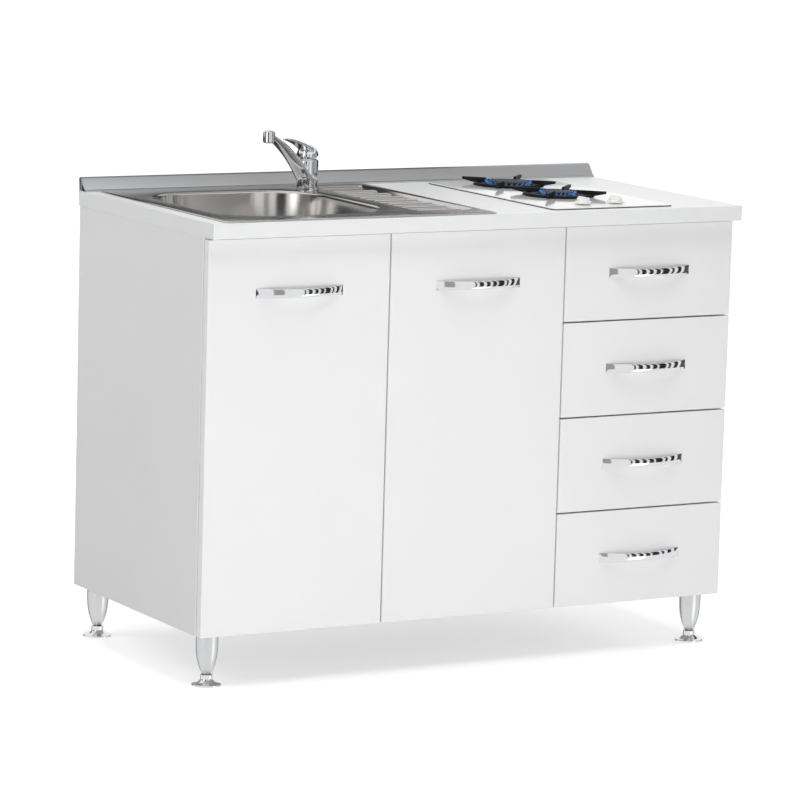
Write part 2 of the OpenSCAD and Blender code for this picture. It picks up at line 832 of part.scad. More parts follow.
// The pressed field beside the bowl.
module drain_field(grow, low, high)
    translate([drain_x0 + drain_w / 2, (drain_y0 + drain_y1) / 2, low])
        linear_extrude(high - low)
            rounded_rect(drain_w + 2 * grow, drain_y1 - drain_y0 + 2 * grow, drain_r + grow);

// Low ribs across the field that carry the crockery and let the water run between them.
module drain_ribs() {
    pitch = (drain_y1 - drain_y0) / rib_count;
    z_axis = z_deck - drain_depth + rib_rise - rib_r;
    intersection() {
        for (i = [0 : rib_count - 1])
            translate([drain_x0 + rib_end, drain_y0 + (i + 0.5) * pitch, z_axis]) rotate([0, 90, 0])
                cylinder(h = drain_w - 2 * rib_end, r = rib_r);
        drain_field(0, z_deck - drain_depth - sheet_t / 2, z_deck);
    }
}

module sink() color(steel) {
    difference() {
        union() {
            board([sink_x0, sink_y0, unit_h], [sink_x1, sink_y1, z_deck]);
            drain_field(sheet_t, z_deck - drain_depth - sheet_t, z_deck);
            translate([bowl_cx, bowl_cy, 0]) bowl_form(sheet_t, z_deck);
        }
        difference() {
            board(
                [sink_x0 + sheet_t, sink_y0 + sheet_t, unit_h - cut],
                [sink_x1 - sheet_t, sink_y1 - sheet_t, z_deck - sheet_t]
            );
            drain_field(sheet_t, z_deck - drain_depth - sheet_t, z_deck);
            translate([bowl_cx, bowl_cy, 0]) bowl_form(sheet_t, z_deck);
        }
        translate([bowl_cx, bowl_cy, 0]) bowl_form(0, z_deck + cut);
        drain_field(0, z_deck - drain_depth, z_deck + cut);
        translate([bowl_cx, bowl_cy, z_bowl - 2 * sheet_t])
            cylinder(h = 4 * sheet_t, r = waste_r + waste_t);
        translate([tap_x, tap_y, z_deck - 2 * sheet_t])
            cylinder(h = 4 * sheet_t, r = tap_hole_r);
    }
    drain_ribs();
}

// The cup under the bowl, clamped by its flange above and its nut below.
module waste_fitting() color(steel) translate([bowl_cx, bowl_cy, 0]) {
    outer_r = waste_r + waste_t;
    rotate_extrude() polygon([
        [outer_r + waste_lip, z_bowl], [outer_r + waste_lip, z_bowl + waste_t / 2],
        [outer_r, z_bowl + waste_t], [waste_r, z_bowl + waste_t / 2],
        [waste_r, tube_z + waste_t], [pipe_r - pipe_wall, tube_z],
        [pipe_r - pipe_wall, tube_z - nut_h], [pipe_r, tube_z - nut_h],
        [pipe_r, tube_z - waste_t], [outer_r, tube_z - waste_t], [outer_r, z_bowl]
    ]);
    tube(outer_r + nut_wall, outer_r, z_bowl - sheet_t - nut_h, z_bowl - sheet_t);
}

// The loose basket that sits in the waste, with its knob and drain holes.
module strainer_basket() color(steel) translate([bowl_cx, bowl_cy, 0]) difference() {
    basket_r = waste_r - strainer_gap;
    inner_r = basket_r - sheet_t;
    rim_z = z_bowl + waste_t + free_gap;
    floor_z = rim_z - strainer_depth;
    rotate_extrude() polygon([
        [0, floor_z], [basket_r - strainer_bevel, floor_z], [basket_r, floor_z + strainer_bevel],
        [basket_r, rim_z], [waste_r + waste_t, rim_z], [waste_r + waste_t, rim_z + sheet_t],
        [inner_r, rim_z + sheet_t], [inner_r, floor_z + strainer_bevel + sheet_t / 2],
        [inner_r - strainer_bevel + sheet_t / 2, floor_z + sheet_t],
        [lift_stem_r, floor_z + sheet_t], [lift_stem_r, rim_z - lift_h],
        [lift_r, rim_z - lift_h / 2], [lift_r, rim_z - lift_h / 4], [0, rim_z]
    ]);
    for (i = [0 : strainer_holes - 1])
        rotate([0, 0, 360 * i / strainer_holes])
            translate([(basket_r + lift_stem_r) / 2, 0, floor_z - cut])
                cylinder(h = sheet_t + 2 * cut, r = strainer_hole_r);
}

// Bottle trap: a nut on the waste, a down pipe, the bottle with its screwed cap and the
// outlet to the wall.
module waste_trap() color(plastic) translate([bowl_cx, bowl_cy, 0]) {
    bottle_top = outlet_z + pipe_r + bottle_shoulder;
    bottle_low = bottle_top - bottle_h;
    nut_z = tube_z - waste_t;
    difference() {
        union() {
            translate([0, 0, nut_z - 2 * nut_h]) cylinder(h = 2 * nut_h, r = pipe_r + nut_wall);
            translate([0, 0, bottle_top]) cylinder(h = nut_z - nut_h - bottle_top, r = pipe_r);
            translate([0, 0, bottle_low]) cylinder(h = bottle_h, r = bottle_r);
            translate([0, 0, bottle_low]) cylinder(h = bottle_cap_h, r = bottle_r + nut_wall / 2);
            translate([0, 0, outlet_z]) rotate([-90, 0, 0])
                cylinder(h = outlet_y - bowl_cy, r = pipe_r);
            translate([0, bottle_r - nut_wall / 2, outlet_z]) rotate([-90, 0, 0])
                cylinder(h = 2 * nut_h, r = pipe_r + nut_wall);
        }
        translate([0, 0, nut_z - nut_h]) cylinder(h = nut_h + cut, r = pipe_r);
        translate([0, 0, outlet_z]) cylinder(h = nut_z - outlet_z, r = pipe_r - pipe_wall);
        translate([0, 0, outlet_z]) rotate([-90, 0, 0])
            cylinder(h = outlet_y - bowl_cy + cut, r = pipe_r - pipe_wall);
    }
}

// ---------------------------------------------------------------- tap

// Places a piece of the tap that is drawn with its spout along X and the deck at z = 0.
module on_tap() translate([tap_x, tap_y, z_deck]) rotate([0, 0, tap_angle]) children();

// Ring on the deck, the spindle that the body turns on, and the shank, nut and inlets below.
module tap_base() color(chrome) on_tap() {
    difference() {
        union() {
            cylinder(h = tap_ring_h, r = tap_ring_r);
            cylinder(h = tap_body_h - tap_cap_t, r = tap_bore_r);
            translate([0, 0, -shank_len]) cylinder(h = shank_len, r = shank_r);
        }
        translate([0, 0, -shank_len - cut]) cylinder(h = shank_len, r = shank_r - shank_wall);
    }
    tube(tap_nut_r, shank_r, -sheet_t - tap_nut_h, -sheet_t);
    for (s = [-1, 1])
        translate([0, s * inlet_off, -shank_len - inlet_len])
            cylinder(h = shank_len + inlet_len, r = inlet_r);
}

// The body and the rising spout, cast in one piece.
module tap_spout() {
    color(chrome) on_tap() difference() {
        union() {
            translate([0, 0, tap_ring_h + free_gap])
                cylinder(h = tap_body_h - tap_ring_h - free_gap, r = tap_r);
            loft([for (k = [0 : spout_rings])
                let (t = k / spout_rings)
                    blade_ring(spout_line, bent(spout_sizes, t), spout_belly, t)]);
            translate([spout_reach, 0, spout_rise - spout_head_h / 2])
                cylinder(h = spout_head_h, r = spout_head_r);
        }
        translate([0, 0, tap_ring_h])
            cylinder(h = tap_body_h - tap_ring_h - tap_cap_t + free_gap, r = tap_bore_r + run_fit);
        translate([0, 0, groove_z]) difference() {
            cylinder(h = groove_w, r = tap_r + cut);
            cylinder(h = groove_w, r = tap_r - groove_w);
            translate([0, -tap_r, 0]) cube([2 * tap_r, 2 * tap_r, groove_w]);
        }
        translate([spout_reach, 0, spout_rise - spout_head_h / 2 - cut])
            cylinder(h = aerator_h + cut, r = aerator_r);
    }
}

module tap_aerator() color(zinc) on_tap()
    translate([spout_reach, 0, spout_rise - spout_head_h / 2 - aerator_out]) difference() {
        cylinder(h = aerator_h + aerator_out, r = aerator_r);
        translate([0, 0, -cut]) cylinder(h = aerator_out + cut, r = aerator_r - aerator_out);
    }

// The ball that turns with the lever on top of the body.
module tap_cartridge() color(chrome) on_tap() difference() {
    translate([0, 0, lever_z]) sphere(ball_r);
    translate([-2 * ball_r, -2 * ball_r, tap_body_h + free_gap - 4 * ball_r]) cube(4 * ball_r);
}

// The cap over the ball and the lever above the spout.
module tap_lever() color(chrome) on_tap() translate([0, 0, lever_z]) difference() {
    union() {
        sphere(ball_r + cap_play + cap_t);
        loft([for (k = [0 : lever_rings])
            let (t = k / lever_rings, keep = rounded_end(t, lever_round))
                blade_ring(lever_line, keep * bent(lever_sizes, t), lever_belly, t)]);
    }
    sphere(ball_r + cap_play);
    rotate([0, cap_slope, 0]) translate([0, 0, -2 * ball_r]) cube(4 * ball_r, center = true);
}

// ---------------------------------------------------------------- hob

module on_hob(dx, dy, z) translate([hob_x + dx, hob_y + dy, z]) children();

burner_dy = [rear_dy, front_dy];
crown_radii = [rear_crown_r, front_crown_r];
z_dish = z_hob - dish_drop;

// The pressed top, turned down at its edge, with holes for the dishes and the spindles.
module hob_plate() color(enamel_white) on_hob(0, 0, unit_h) difference() {
    linear_extrude(hob_rise) rounded_rect(hob_w, hob_d, hob_r);
    translate([0, 0, -cut]) linear_extrude(hob_rise + cut - hob_sheet)
        rounded_rect(hob_w - 2 * hob_sheet, hob_d - 2 * hob_sheet, hob_r - hob_sheet);
    for (dy = burner_dy)
        translate([0, dy, -cut]) cylinder(h = hob_rise + 2 * cut, r = dish_hole);
    for (s = [-1, 1])
        translate([s * knob_dx, knob_dy, -cut])
            cylinder(h = hob_rise + 2 * cut, r = spindle_r + free_gap);
}

// The open box that hangs in the cut-out and closes the hob from below.
module hob_tray() color(zinc) on_hob(0, 0, tray_z) difference() {
    translate([-tray_w / 2, -tray_d / 2, 0]) cube([tray_w, tray_d, z_hob - hob_sheet - tray_z]);
    translate([tray_t - tray_w / 2, tray_t - tray_d / 2, tray_t])
        cube([tray_w - 2 * tray_t, tray_d - 2 * tray_t, z_hob - tray_z]);
    translate([gas_x, gas_rear_y, -cut]) cylinder(h = tray_t + 2 * cut, r = inlet_pipe_r);
}

// Gas pipe along the tray, with a valve and spindle under each knob and the inlet below.
module gas_rail() color(zinc) {
    rail_y0 = knob_dy - valve_r;
    on_hob(gas_x, rail_y0, gas_z) rotate([-90, 0, 0])
        cylinder(h = gas_rear_y - rail_y0, r = gas_pipe_r);
    on_hob(gas_x, gas_rear_y, 0) {
        translate([0, 0, tray_z - gas_stub])
            cylinder(h = gas_stub + tray_t, r = inlet_pipe_r);
        translate([0, 0, tray_z + tray_t])
            cylinder(h = gas_z + gas_pipe_r - tray_z, r = inlet_pipe_r + gas_shoulder);
    }
    on_hob(-knob_dx, knob_dy, gas_z) rotate([0, 90, 0])
        cylinder(h = gas_x + knob_dx, r = gas_pipe_r);
    for (s = [-1, 1])
        on_hob(s * knob_dx, knob_dy, 0) {
            translate([0, 0, gas_z - valve_r]) cylinder(h = 2.5 * valve_r, r = valve_r);
            translate([0, 0, gas_z]) cylinder(h = z_hob + spindle_h - gas_z, r = spindle_r);
        }
    for (dy = burner_dy)
        on_hob(throat_r, dy, gas_z + gas_pipe_r / 2) rotate([0, 90, 0])
            cylinder(h = gas_x - throat_r, r = gas_pipe_r / 2);
}

// Shallow dishes that catch what boils over.
module burner_dishes() color(enamel_black)
    for (dy = burner_dy)
        on_hob(0, dy, 0) rotate_extrude() polygon([
            [dish_r, z_hob], [dish_r, z_hob + dish_t / 2], [dish_r - dish_lip, z_hob + dish_t],
            [dish_hole - dish_lip, z_hob + dish_t], [dish_floor_r, z_dish + dish_t],
            [throat_hole, z_dish + dish_t], [throat_hole, z_dish],
            [dish_floor_r + dish_lip / 2, z_dish], [dish_hole - dish_lip / 2, z_hob]
        ]);

// Cast rings with a row of flame ports, each on its mixing tube.
module burner_crowns() color(satin)
    for (b = [0, 1])
        on_hob(0, burner_dy[b], z_dish + dish_t) difference() {
            crown_r = crown_radii[b];
            union() {
                cylinder(h = crown_base_h, r1 = crown_r + crown_foot, r2 = crown_r);
                cylinder(h = crown_h, r = crown_r);
                translate([0, 0, gas_z - z_dish - dish_t])
                    cylinder(h = z_dish + dish_t + cut - gas_z, r = throat_r);
            }
            translate([0, 0, crown_base_h]) cylinder(h = crown_h, r = crown_r - crown_wall);
            for (i = [0 : port_count - 1])
                rotate([0, 0, 360 * i / port_count])
                    translate([crown_r - crown_wall - cut, -port_w / 2, crown_h - port_h])
                        cube([crown_wall + 2 * cut, port_w, port_h + cut]);
        }

// A loose cap, with the spigot that centres it in the crown.
module burner_cap(b) color(enamel_black) on_hob(0, burner_dy[b], z_dish + dish_t + crown_h) {
    spigot_r = crown_radii[b] - crown_wall - spigot_play;
    rim_r = crown_radii[b] + cap_over;
    rotate_extrude() polygon([
        [0, -cap_spigot_h], [spigot_r, -cap_spigot_h], [spigot_r, free_gap], [rim_r, free_gap],
        [rim_r, cap_h / 2], [crown_radii[b] - cap_over, cap_h], [0, cap_h + cap_crown]
    ]);
}

// A ring on the dish with four arms, standing loose on the hob.
module pan_support(b) {
    arm_in = crown_radii[b] + cap_over + arm_gap;
    z_ring = z_hob + dish_t + free_gap;
    ring_r = dish_r - dish_lip;
    arm_top = z_hob + support_h - z_ring;
    color(enamel_black) on_hob(0, burner_dy[b], 0) {
        tube(ring_r, ring_r - ring_w, z_ring, z_ring + ring_h);
        for (i = [0 : 3])
            rotate([0, 0, 45 + 90 * i]) translate([0, arm_w / 2, z_ring]) rotate([90, 0, 0])
                linear_extrude(arm_w) polygon([
                    [ring_r - ring_w, 0], [ring_r, 0], [arm_reach, arm_top - arm_nose],
                    [arm_reach, arm_top], [arm_in, arm_top], [arm_in, arm_top - arm_nose]
                ]);
    }
}

// A round knob on its spindle, with a grip bar across the top.
module knob(side) color(plastic) on_hob(side * knob_dx, knob_dy, z_hob + knob_lift) difference() {
    union() {
        cylinder(h = knob_h / 3, r1 = knob_r, r2 = knob_r - knob_step / 4);
        cylinder(h = knob_h - grip_rise, r = knob_r - knob_step);
        translate([-grip_w / 2, grip_rise - knob_r, 0])
            cube([grip_w, 2 * (knob_r - grip_rise), knob_h]);
    }
    translate([0, 0, -cut])
        cylinder(h = spindle_h - knob_lift + 2 * cut, r = spindle_r + run_fit);
}

// ---------------------------------------------------------------- nodes

side_panel(-1);  // side_panel_left
side_panel(1);  // side_panel_right
partition_panel();
bottom_panel();
back_boards();
top_rails();
worktop();
upstand();
leg(-leg_x, leg_y_front);  // leg_front_left
leg(leg_x, leg_y_front);  // leg_front_right
leg(-leg_x, leg_y_rear);  // leg_rear_left
leg(leg_x, leg_y_rear);  // leg_rear_right
foot(-leg_x, leg_y_front);  // foot_front_left
foot(leg_x, leg_y_front);  // foot_front_right
foot(-leg_x, leg_y_rear);  // foot_rear_left
foot(leg_x, leg_y_rear);  // foot_rear_right
hinge_arms();
drawer_rails_fixed();
door(true);  // door_left
door(false);  // door_right
hinge_cups(true);  // hinge_cups_left
hinge_cups(false);  // hinge_cups_right
handle(door_cx[0], door_handle_z);  // handle_door_left
handle(door_cx[1], door_handle_z);  // handle_door_right
drawer_front(1);  // drawer_front_1
drawer_front(2);  // drawer_front_2
drawer_front(3);  // drawer_front_3
drawer_front(4);  // drawer_front_4
drawer_box(1);  // drawer_box_1
drawer_box(2);  // drawer_box_2
drawer_box(3);  // drawer_box_3
drawer_box(4);  // drawer_box_4
drawer_rails(1);  // drawer_rails_1
drawer_rails(2);  // drawer_rails_2
drawer_rails(3);  // drawer_rails_3
drawer_rails(4);  // drawer_rails_4
handle(drawer_handle_x, front_z(1) + front_h / 2);  // handle_drawer_1
handle(drawer_handle_x, front_z(2) + front_h / 2);  // handle_drawer_2
handle(drawer_handle_x, front_z(3) + front_h / 2);  // handle_drawer_3
handle(drawer_handle_x, front_z(4) + front_h / 2);  // handle_drawer_4
sink();
waste_fitting();
strainer_basket();
waste_trap();
tap_base();
tap_spout();
tap_aerator();
tap_cartridge();
tap_lever();
hob_plate();
hob_tray();
gas_rail();
burner_dishes();
burner_crowns();
burner_cap(0);  // burner_cap_rear
burner_cap(1);  // burner_cap_front
pan_support(0);  // pan_support_rear
pan_support(1);  // pan_support_front
knob(-1);  // knob_rear
knob(1);  // knob_front
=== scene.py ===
"""Looks of a kitchenette unit with an inset sink, a mixer tap and a small gas hob.

Each sub-assembly is a class whose fields are its sizes in millimetres. Its build method makes the
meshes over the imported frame's solids, dresses them, and lets each ride on the body it belongs to.
"""

import logging
import math
from collections.abc import Callable, Iterator, Sequence
from contextlib import contextmanager
from dataclasses import dataclass, field
from enum import Enum
from typing import Any

import bmesh
import bpy
from bpy.types import ID, Material, Mesh, Node, NodeSocket, NodeTree, Object, World
from mathutils import Matrix, Vector
from mathutils.geometry import delaunay_2d_cdt


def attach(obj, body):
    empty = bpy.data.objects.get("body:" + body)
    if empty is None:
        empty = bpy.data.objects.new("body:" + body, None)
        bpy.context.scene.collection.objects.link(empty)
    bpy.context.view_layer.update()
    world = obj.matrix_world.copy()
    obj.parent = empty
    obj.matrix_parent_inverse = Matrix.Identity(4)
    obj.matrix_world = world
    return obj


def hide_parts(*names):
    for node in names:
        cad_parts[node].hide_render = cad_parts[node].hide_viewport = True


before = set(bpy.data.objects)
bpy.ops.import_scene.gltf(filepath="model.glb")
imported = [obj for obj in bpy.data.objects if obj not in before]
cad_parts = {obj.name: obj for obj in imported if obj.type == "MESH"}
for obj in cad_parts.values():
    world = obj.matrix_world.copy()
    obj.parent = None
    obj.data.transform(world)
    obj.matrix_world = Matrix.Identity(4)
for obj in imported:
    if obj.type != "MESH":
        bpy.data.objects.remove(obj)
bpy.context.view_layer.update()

log = logging.getLogger("kitchenette")
MM = 0.001
SAME_POINT = 1e-6
QUARTER = math.pi / 2
WHITE = (1.0, 1.0, 1.0, 1.0)
Pair = tuple[float, float]
Point = tuple[float, float, float]
Ring = list[Point]


# ------------------------------------------------------------------ nodes and finishes


def linear(code: str) -> tuple[float, float, float, float]:
    """Turns an sRGB hex colour into linear light.

    Args:
        code: The colour, as "#rrggbb".

    Returns:
        Red, green, blue and alpha for a colour socket.
    """
    parts = [int(code[i : i + 2], 16) / 255 for i in (1, 3, 5)]
    light = [p / 12.92 if p <= 0.04045 else ((p + 0.055) / 1.055) ** 2.4 for p in parts]
    return (light[0], light[1], light[2], 1.0)


def add_node(
    tree: NodeTree, kind: str, inputs: dict[Any, Any] | None = None, **settings: Any
) -> Node:
    """Adds one node to a tree.

    Args:
        tree: The shader or geometry tree.
        kind: The node's type name.
        inputs: Input names or numbers, each with a value, the socket that feeds it, or the node
            whose first output feeds it.
        **settings: Properties of the node itself.

    Returns:
        The new node.
    """
    made = tree.nodes.new(kind)
    for name, value in settings.items():
        setattr(made, name, value)
    for key, value in (inputs or {}).items():
        if isinstance(value, Node):
            value = value.outputs[0]
        if isinstance(value, NodeSocket):
            tree.links.new(value, made.inputs[key])
        else:
            made.inputs[key].default_value = value
    return made


def empty_tree(owner: Material | World) -> NodeTree:
    """Turns on the nodes of a material or a world, and gives its tree emptied.

    Args:
        owner: The material or the world.

    Returns:
        Its tree, without nodes.
    """
    owner.use_nodes = True
    owner.node_tree.nodes.clear()
    return owner.node_tree


def drifting(tree: NodeTree, place: NodeSocket, patch_mm: float, *colours: str) -> NodeSocket:
    """Adds a colour that drifts to another in soft patches.

    Args:
        tree: The material's tree.
        place: The coordinates that the patches lie in.
        patch_mm: Their size.
        *colours: The main colour and the one it drifts to.

    Returns:
        The mixed colour.
    """
    patches = add_node(
        tree, "ShaderNodeTexNoise", {"Vector": place, "Scale": 1 / (patch_mm * MM), "Detail": 2.0}
    )
    main, other = (linear(code) for code in colours)
    mixed = add_node(tree, "ShaderNodeMix", {0: patches, 6: main, 7: other}, data_type="RGBA")
    return mixed.outputs[2]


class Grain(Enum):
    """Which way the fine lines of a finish run, as the stretch of its pattern along X, Y and Z."""

    EVEN = (1.0, 1.0, 1.0)
    ALONG_X = (0.02, 1.0, 1.0)


class Surface:
    """What a piece is made of, as a material that is built the first time it is asked for."""

    name: str

    def shader(self, tree: NodeTree, place: NodeSocket) -> Node:
        """Adds the surface's shader to a tree, with patterns that lie in given coordinates."""
        raise NotImplementedError

    def material(self) -> Material:
        """Gives the surface's material.

        Returns:
            The material, new or as made before.
        """
        found = bpy.data.materials.get(self.name)
        if found is None:
            found = bpy.data.materials.new(self.name)
            tree = empty_tree(found)
            place = add_node(tree, "ShaderNodeTexCoord").outputs["Object"]
            shader = self.shader(tree, place)
            add_node(tree, "ShaderNodeOutputMaterial", {"Surface": shader})
        return found


@dataclass(frozen=True)
class Finish(Surface):
    """A surface: what it is made of and how it was finished.

    Attributes:
        name: Its common name.
        colour: Its main colour.
        drift: The colour that its patches drift to.
        patch_mm: Size of those patches.
        rough: Roughness from its smoothest to its dullest spots.
        grain_mm: Spacing of its fine relief.
        relief_mm: Depth of that relief.
        grain: Which way the relief runs.
        metallic: 1 for bare metal.
        coat: Strength of a clear layer on top.
        sheen: How strongly its bare surface mirrors, as the shader's specular level.
    """

    name: str
    colour: str
    drift: str
    patch_mm: float
    rough: Pair
    grain_mm: float
    relief_mm: float
    grain: Grain = Grain.EVEN
    metallic: float = 0.0
    coat: float = 0.0
    sheen: float = 0.5

    def shader(self, tree: NodeTree, place: NodeSocket) -> Node:
        """Adds the finish's shader, whose roughness and relief follow one fine pattern.

        Args:
            tree: The material's tree.
            place: The coordinates that its patterns lie in.

        Returns:
            The shader node.
        """
        lines = add_node(tree, "ShaderNodeMapping", {"Vector": place, "Scale": self.grain.value})
        fine = add_node(
            tree,
            "ShaderNodeTexNoise",
            {"Vector": lines, "Scale": 1 / (self.grain_mm * MM), "Detail": 3.0},
        )
        low, high = self.rough
        dull = add_node(tree, "ShaderNodeMapRange", {"Value": fine, "To Min": low, "To Max": high})
        relief = {"Height": fine, "Strength": 1.0, "Distance": self.relief_mm * MM}
        return add_node(
            tree,
            "ShaderNodeBsdfPrincipled",
            {
                "Base Color": drifting(tree, place, self.patch_mm, self.colour, self.drift),
                "Roughness": dull,
                "Metallic": self.metallic,
                "Normal": add_node(tree, "ShaderNodeBump", relief),
                "Specular IOR Level": self.sheen,
                "Coat Weight": self.coat,
                "Coat Roughness": 0.08,
            },
        )


@dataclass(frozen=True)
class Flame(Surface):
    """Burning gas: a thin blue glow with paler wisps.

    Attributes:
        name: Its common name.
        colour: Its main colour.
        drift: The colour of its wisps.
        wisp_mm: Their size.
        glow: Strength of its own light.
        cover: How much it hides what is behind it.
    """

    name: str = "gas_flame"
    colour: str = "#1b55b0"
    drift: str = "#4f9ae0"
    wisp_mm: float = 9.0
    glow: float = 0.5
    cover: float = 0.85

    def shader(self, tree: NodeTree, place: NodeSocket) -> Node:
        """Adds the flame's shader, which glows in its own colour.

        Args:
            tree: The material's tree.
            place: The coordinates that its wisps lie in.

        Returns:
            The shader node.
        """
        blue = drifting(tree, place, self.wisp_mm, self.colour, self.drift)
        return add_node(
            tree,
            "ShaderNodeBsdfPrincipled",
            {
                "Base Color": blue,
                "Roughness": 0.6,
                "Emission Color": blue,
                "Emission Strength": self.glow,
                "Alpha": self.cover,
            },
        )


# Melamine-faced chipboard with a satin lacquer look: an even white with a fine pressed tooth.
FRONT_BOARD = Finish("satin_white_board", "#ededed", "#e9e9ea", 180, (0.34, 0.42), 1.6, 0.02)
# The same board inside, a little duller and greyer.
CARCASS_BOARD = Finish("matt_white_board", "#e6e6e6", "#e2e2e3", 160, (0.48, 0.58), 1.4, 0.03)
# High-pressure laminate: hard, with a fine pearl texture.
TOP_LAMINATE = Finish("white_laminate", "#e9e9e9", "#e4e5e6", 60, (0.30, 0.42), 1.2, 0.03)
# Hardboard painted on one side: dull and slightly yellow, with the felt of its fibres.
HARDBOARD = Finish("painted_hardboard", "#e0ddd6", "#d6d2c9", 90, (0.6, 0.75), 0.9, 0.05)
# Extruded aluminium, brushed along its length. The brush lines are drawn coarse enough to show.
BRUSHED_ALUMINIUM = Finish(
    "brushed_aluminium", "#d6d7d8", "#cccdcf", 120, (0.40, 0.50), 0.5, 0.012, Grain.ALONG_X, 1.0
)
# Turned aluminium sprayed with a silver lacquer: a soft, even shine.
SILVER_LACQUER = Finish(
    "satin_silver_lacquer", "#d5d6d7", "#cfd0d1", 40, (0.26, 0.34), 0.6, 0.008, metallic=1.0
)
# Polished chromium plate on zinc: near mirror, with faint wipe marks.
CHROME_PLATE = Finish(
    "polished_chrome", "#e2e3e5", "#dcdde0", 30, (0.04, 0.09), 6.0, 0.004, metallic=1.0
)
# Pressed stainless steel, brushed along the sink. The lines are drawn coarse enough to show.
SATIN_STEEL = Finish(
    "satin_stainless_steel", "#cfcdca", "#c3c1bf", 70, (0.13, 0.21), 0.6, 0.003, Grain.ALONG_X, 1.0
)
# Zinc-plated pressed steel: grey with a faint cloudy spangle.
ZINC_PLATE = Finish(
    "zinc_plated_steel", "#b9bcc0", "#adb2b4", 14, (0.28, 0.42), 0.8, 0.010, metallic=1.0
)
# Epoxy powder on steel runners: a soft orange peel.
POWDER_COAT = Finish("white_powder_coat", "#ebebe8", "#e4e4e1", 50, (0.36, 0.46), 1.1, 0.04)
# Vitreous enamel fused on steel: glassy over a slight waviness.
WHITE_ENAMEL = Finish("white_enamel", "#f2f2f1", "#eeeeee", 45, (0.10, 0.16), 7.0, 0.03, coat=0.6)
# Matt vitreous enamel on cast iron and steel: near black with a sandy tooth.
BLACK_ENAMEL = Finish("black_enamel", "#141516", "#191a1c", 25, (0.42, 0.55), 1.0, 0.03, sheen=0.2)
# Die-cast aluminium, left bare: dull grey with the pores of the mould.
CAST_ALUMINIUM = Finish(
    "cast_aluminium", "#a3a5a7", "#93969a", 10, (0.38, 0.55), 0.7, 0.05, metallic=1.0
)
# Moulded ABS and polypropylene: a smooth skin with a fine spark texture.
WHITE_PLASTIC = Finish("moulded_white_plastic", "#ececea", "#e7e7e4", 50, (0.22, 0.30), 1.5, 0.01)
GREY_PLASTIC = Finish("moulded_grey_plastic", "#8d9093", "#86898d", 30, (0.40, 0.50), 0.9, 0.02)
# Extruded rubber: black and dull.
DARK_SEAL = Finish("black_rubber_seal", "#1b1b1c", "#222224", 12, (0.55, 0.70), 0.8, 0.03)
# Screen-printed ink: a flat grey.
PRINTED_GREY = Finish("grey_print", "#84878b", "#7b7f84", 8, (0.35, 0.45), 0.8, 0.004)
GAS_FLAME = Flame()


# ------------------------------------------------------------------ meshes


def mesh_of(name: str, points: Sequence[Point], faces: Sequence[tuple[int, ...]] = ()) -> Mesh:
    """Makes a mesh from points in millimetres.

    Args:
        name: The mesh's name.
        points: Its points.
        faces: Its faces, as numbers of points.

    Returns:
        The mesh, in metres.
    """
    mesh = bpy.data.meshes.new(name)
    mesh.from_pydata([[c * MM for c in p] for p in points], [], faces)
    return mesh


def linked(name: str, data: ID) -> Object:
    """Makes an object of a mesh, a lamp or a camera in the scene.

    Args:
        name: The object's name.
        data: What it shows.

    Returns:
        The object.
    """
    made = bpy.data.objects.new(name, data)
    bpy.context.scene.collection.objects.link(made)
    return made


@contextmanager
def reworked(mesh: Mesh) -> Iterator[bmesh.types.BMesh]:
    """Lends a mesh's faces and edges for changes, and writes them back.

    Args:
        mesh: The mesh.

    Yields:
        Its editable form.
    """
    work = bmesh.new()
    work.from_mesh(mesh)
    yield work
    work.to_mesh(mesh)
    work.free()


def shade(mesh: Mesh, smooth: float) -> None:
    """Shades a mesh smooth but for its edges that bend by more than an angle in degrees."""
    mesh.shade_smooth()
    mesh.set_sharp_from_angle(angle=math.radians(smooth))


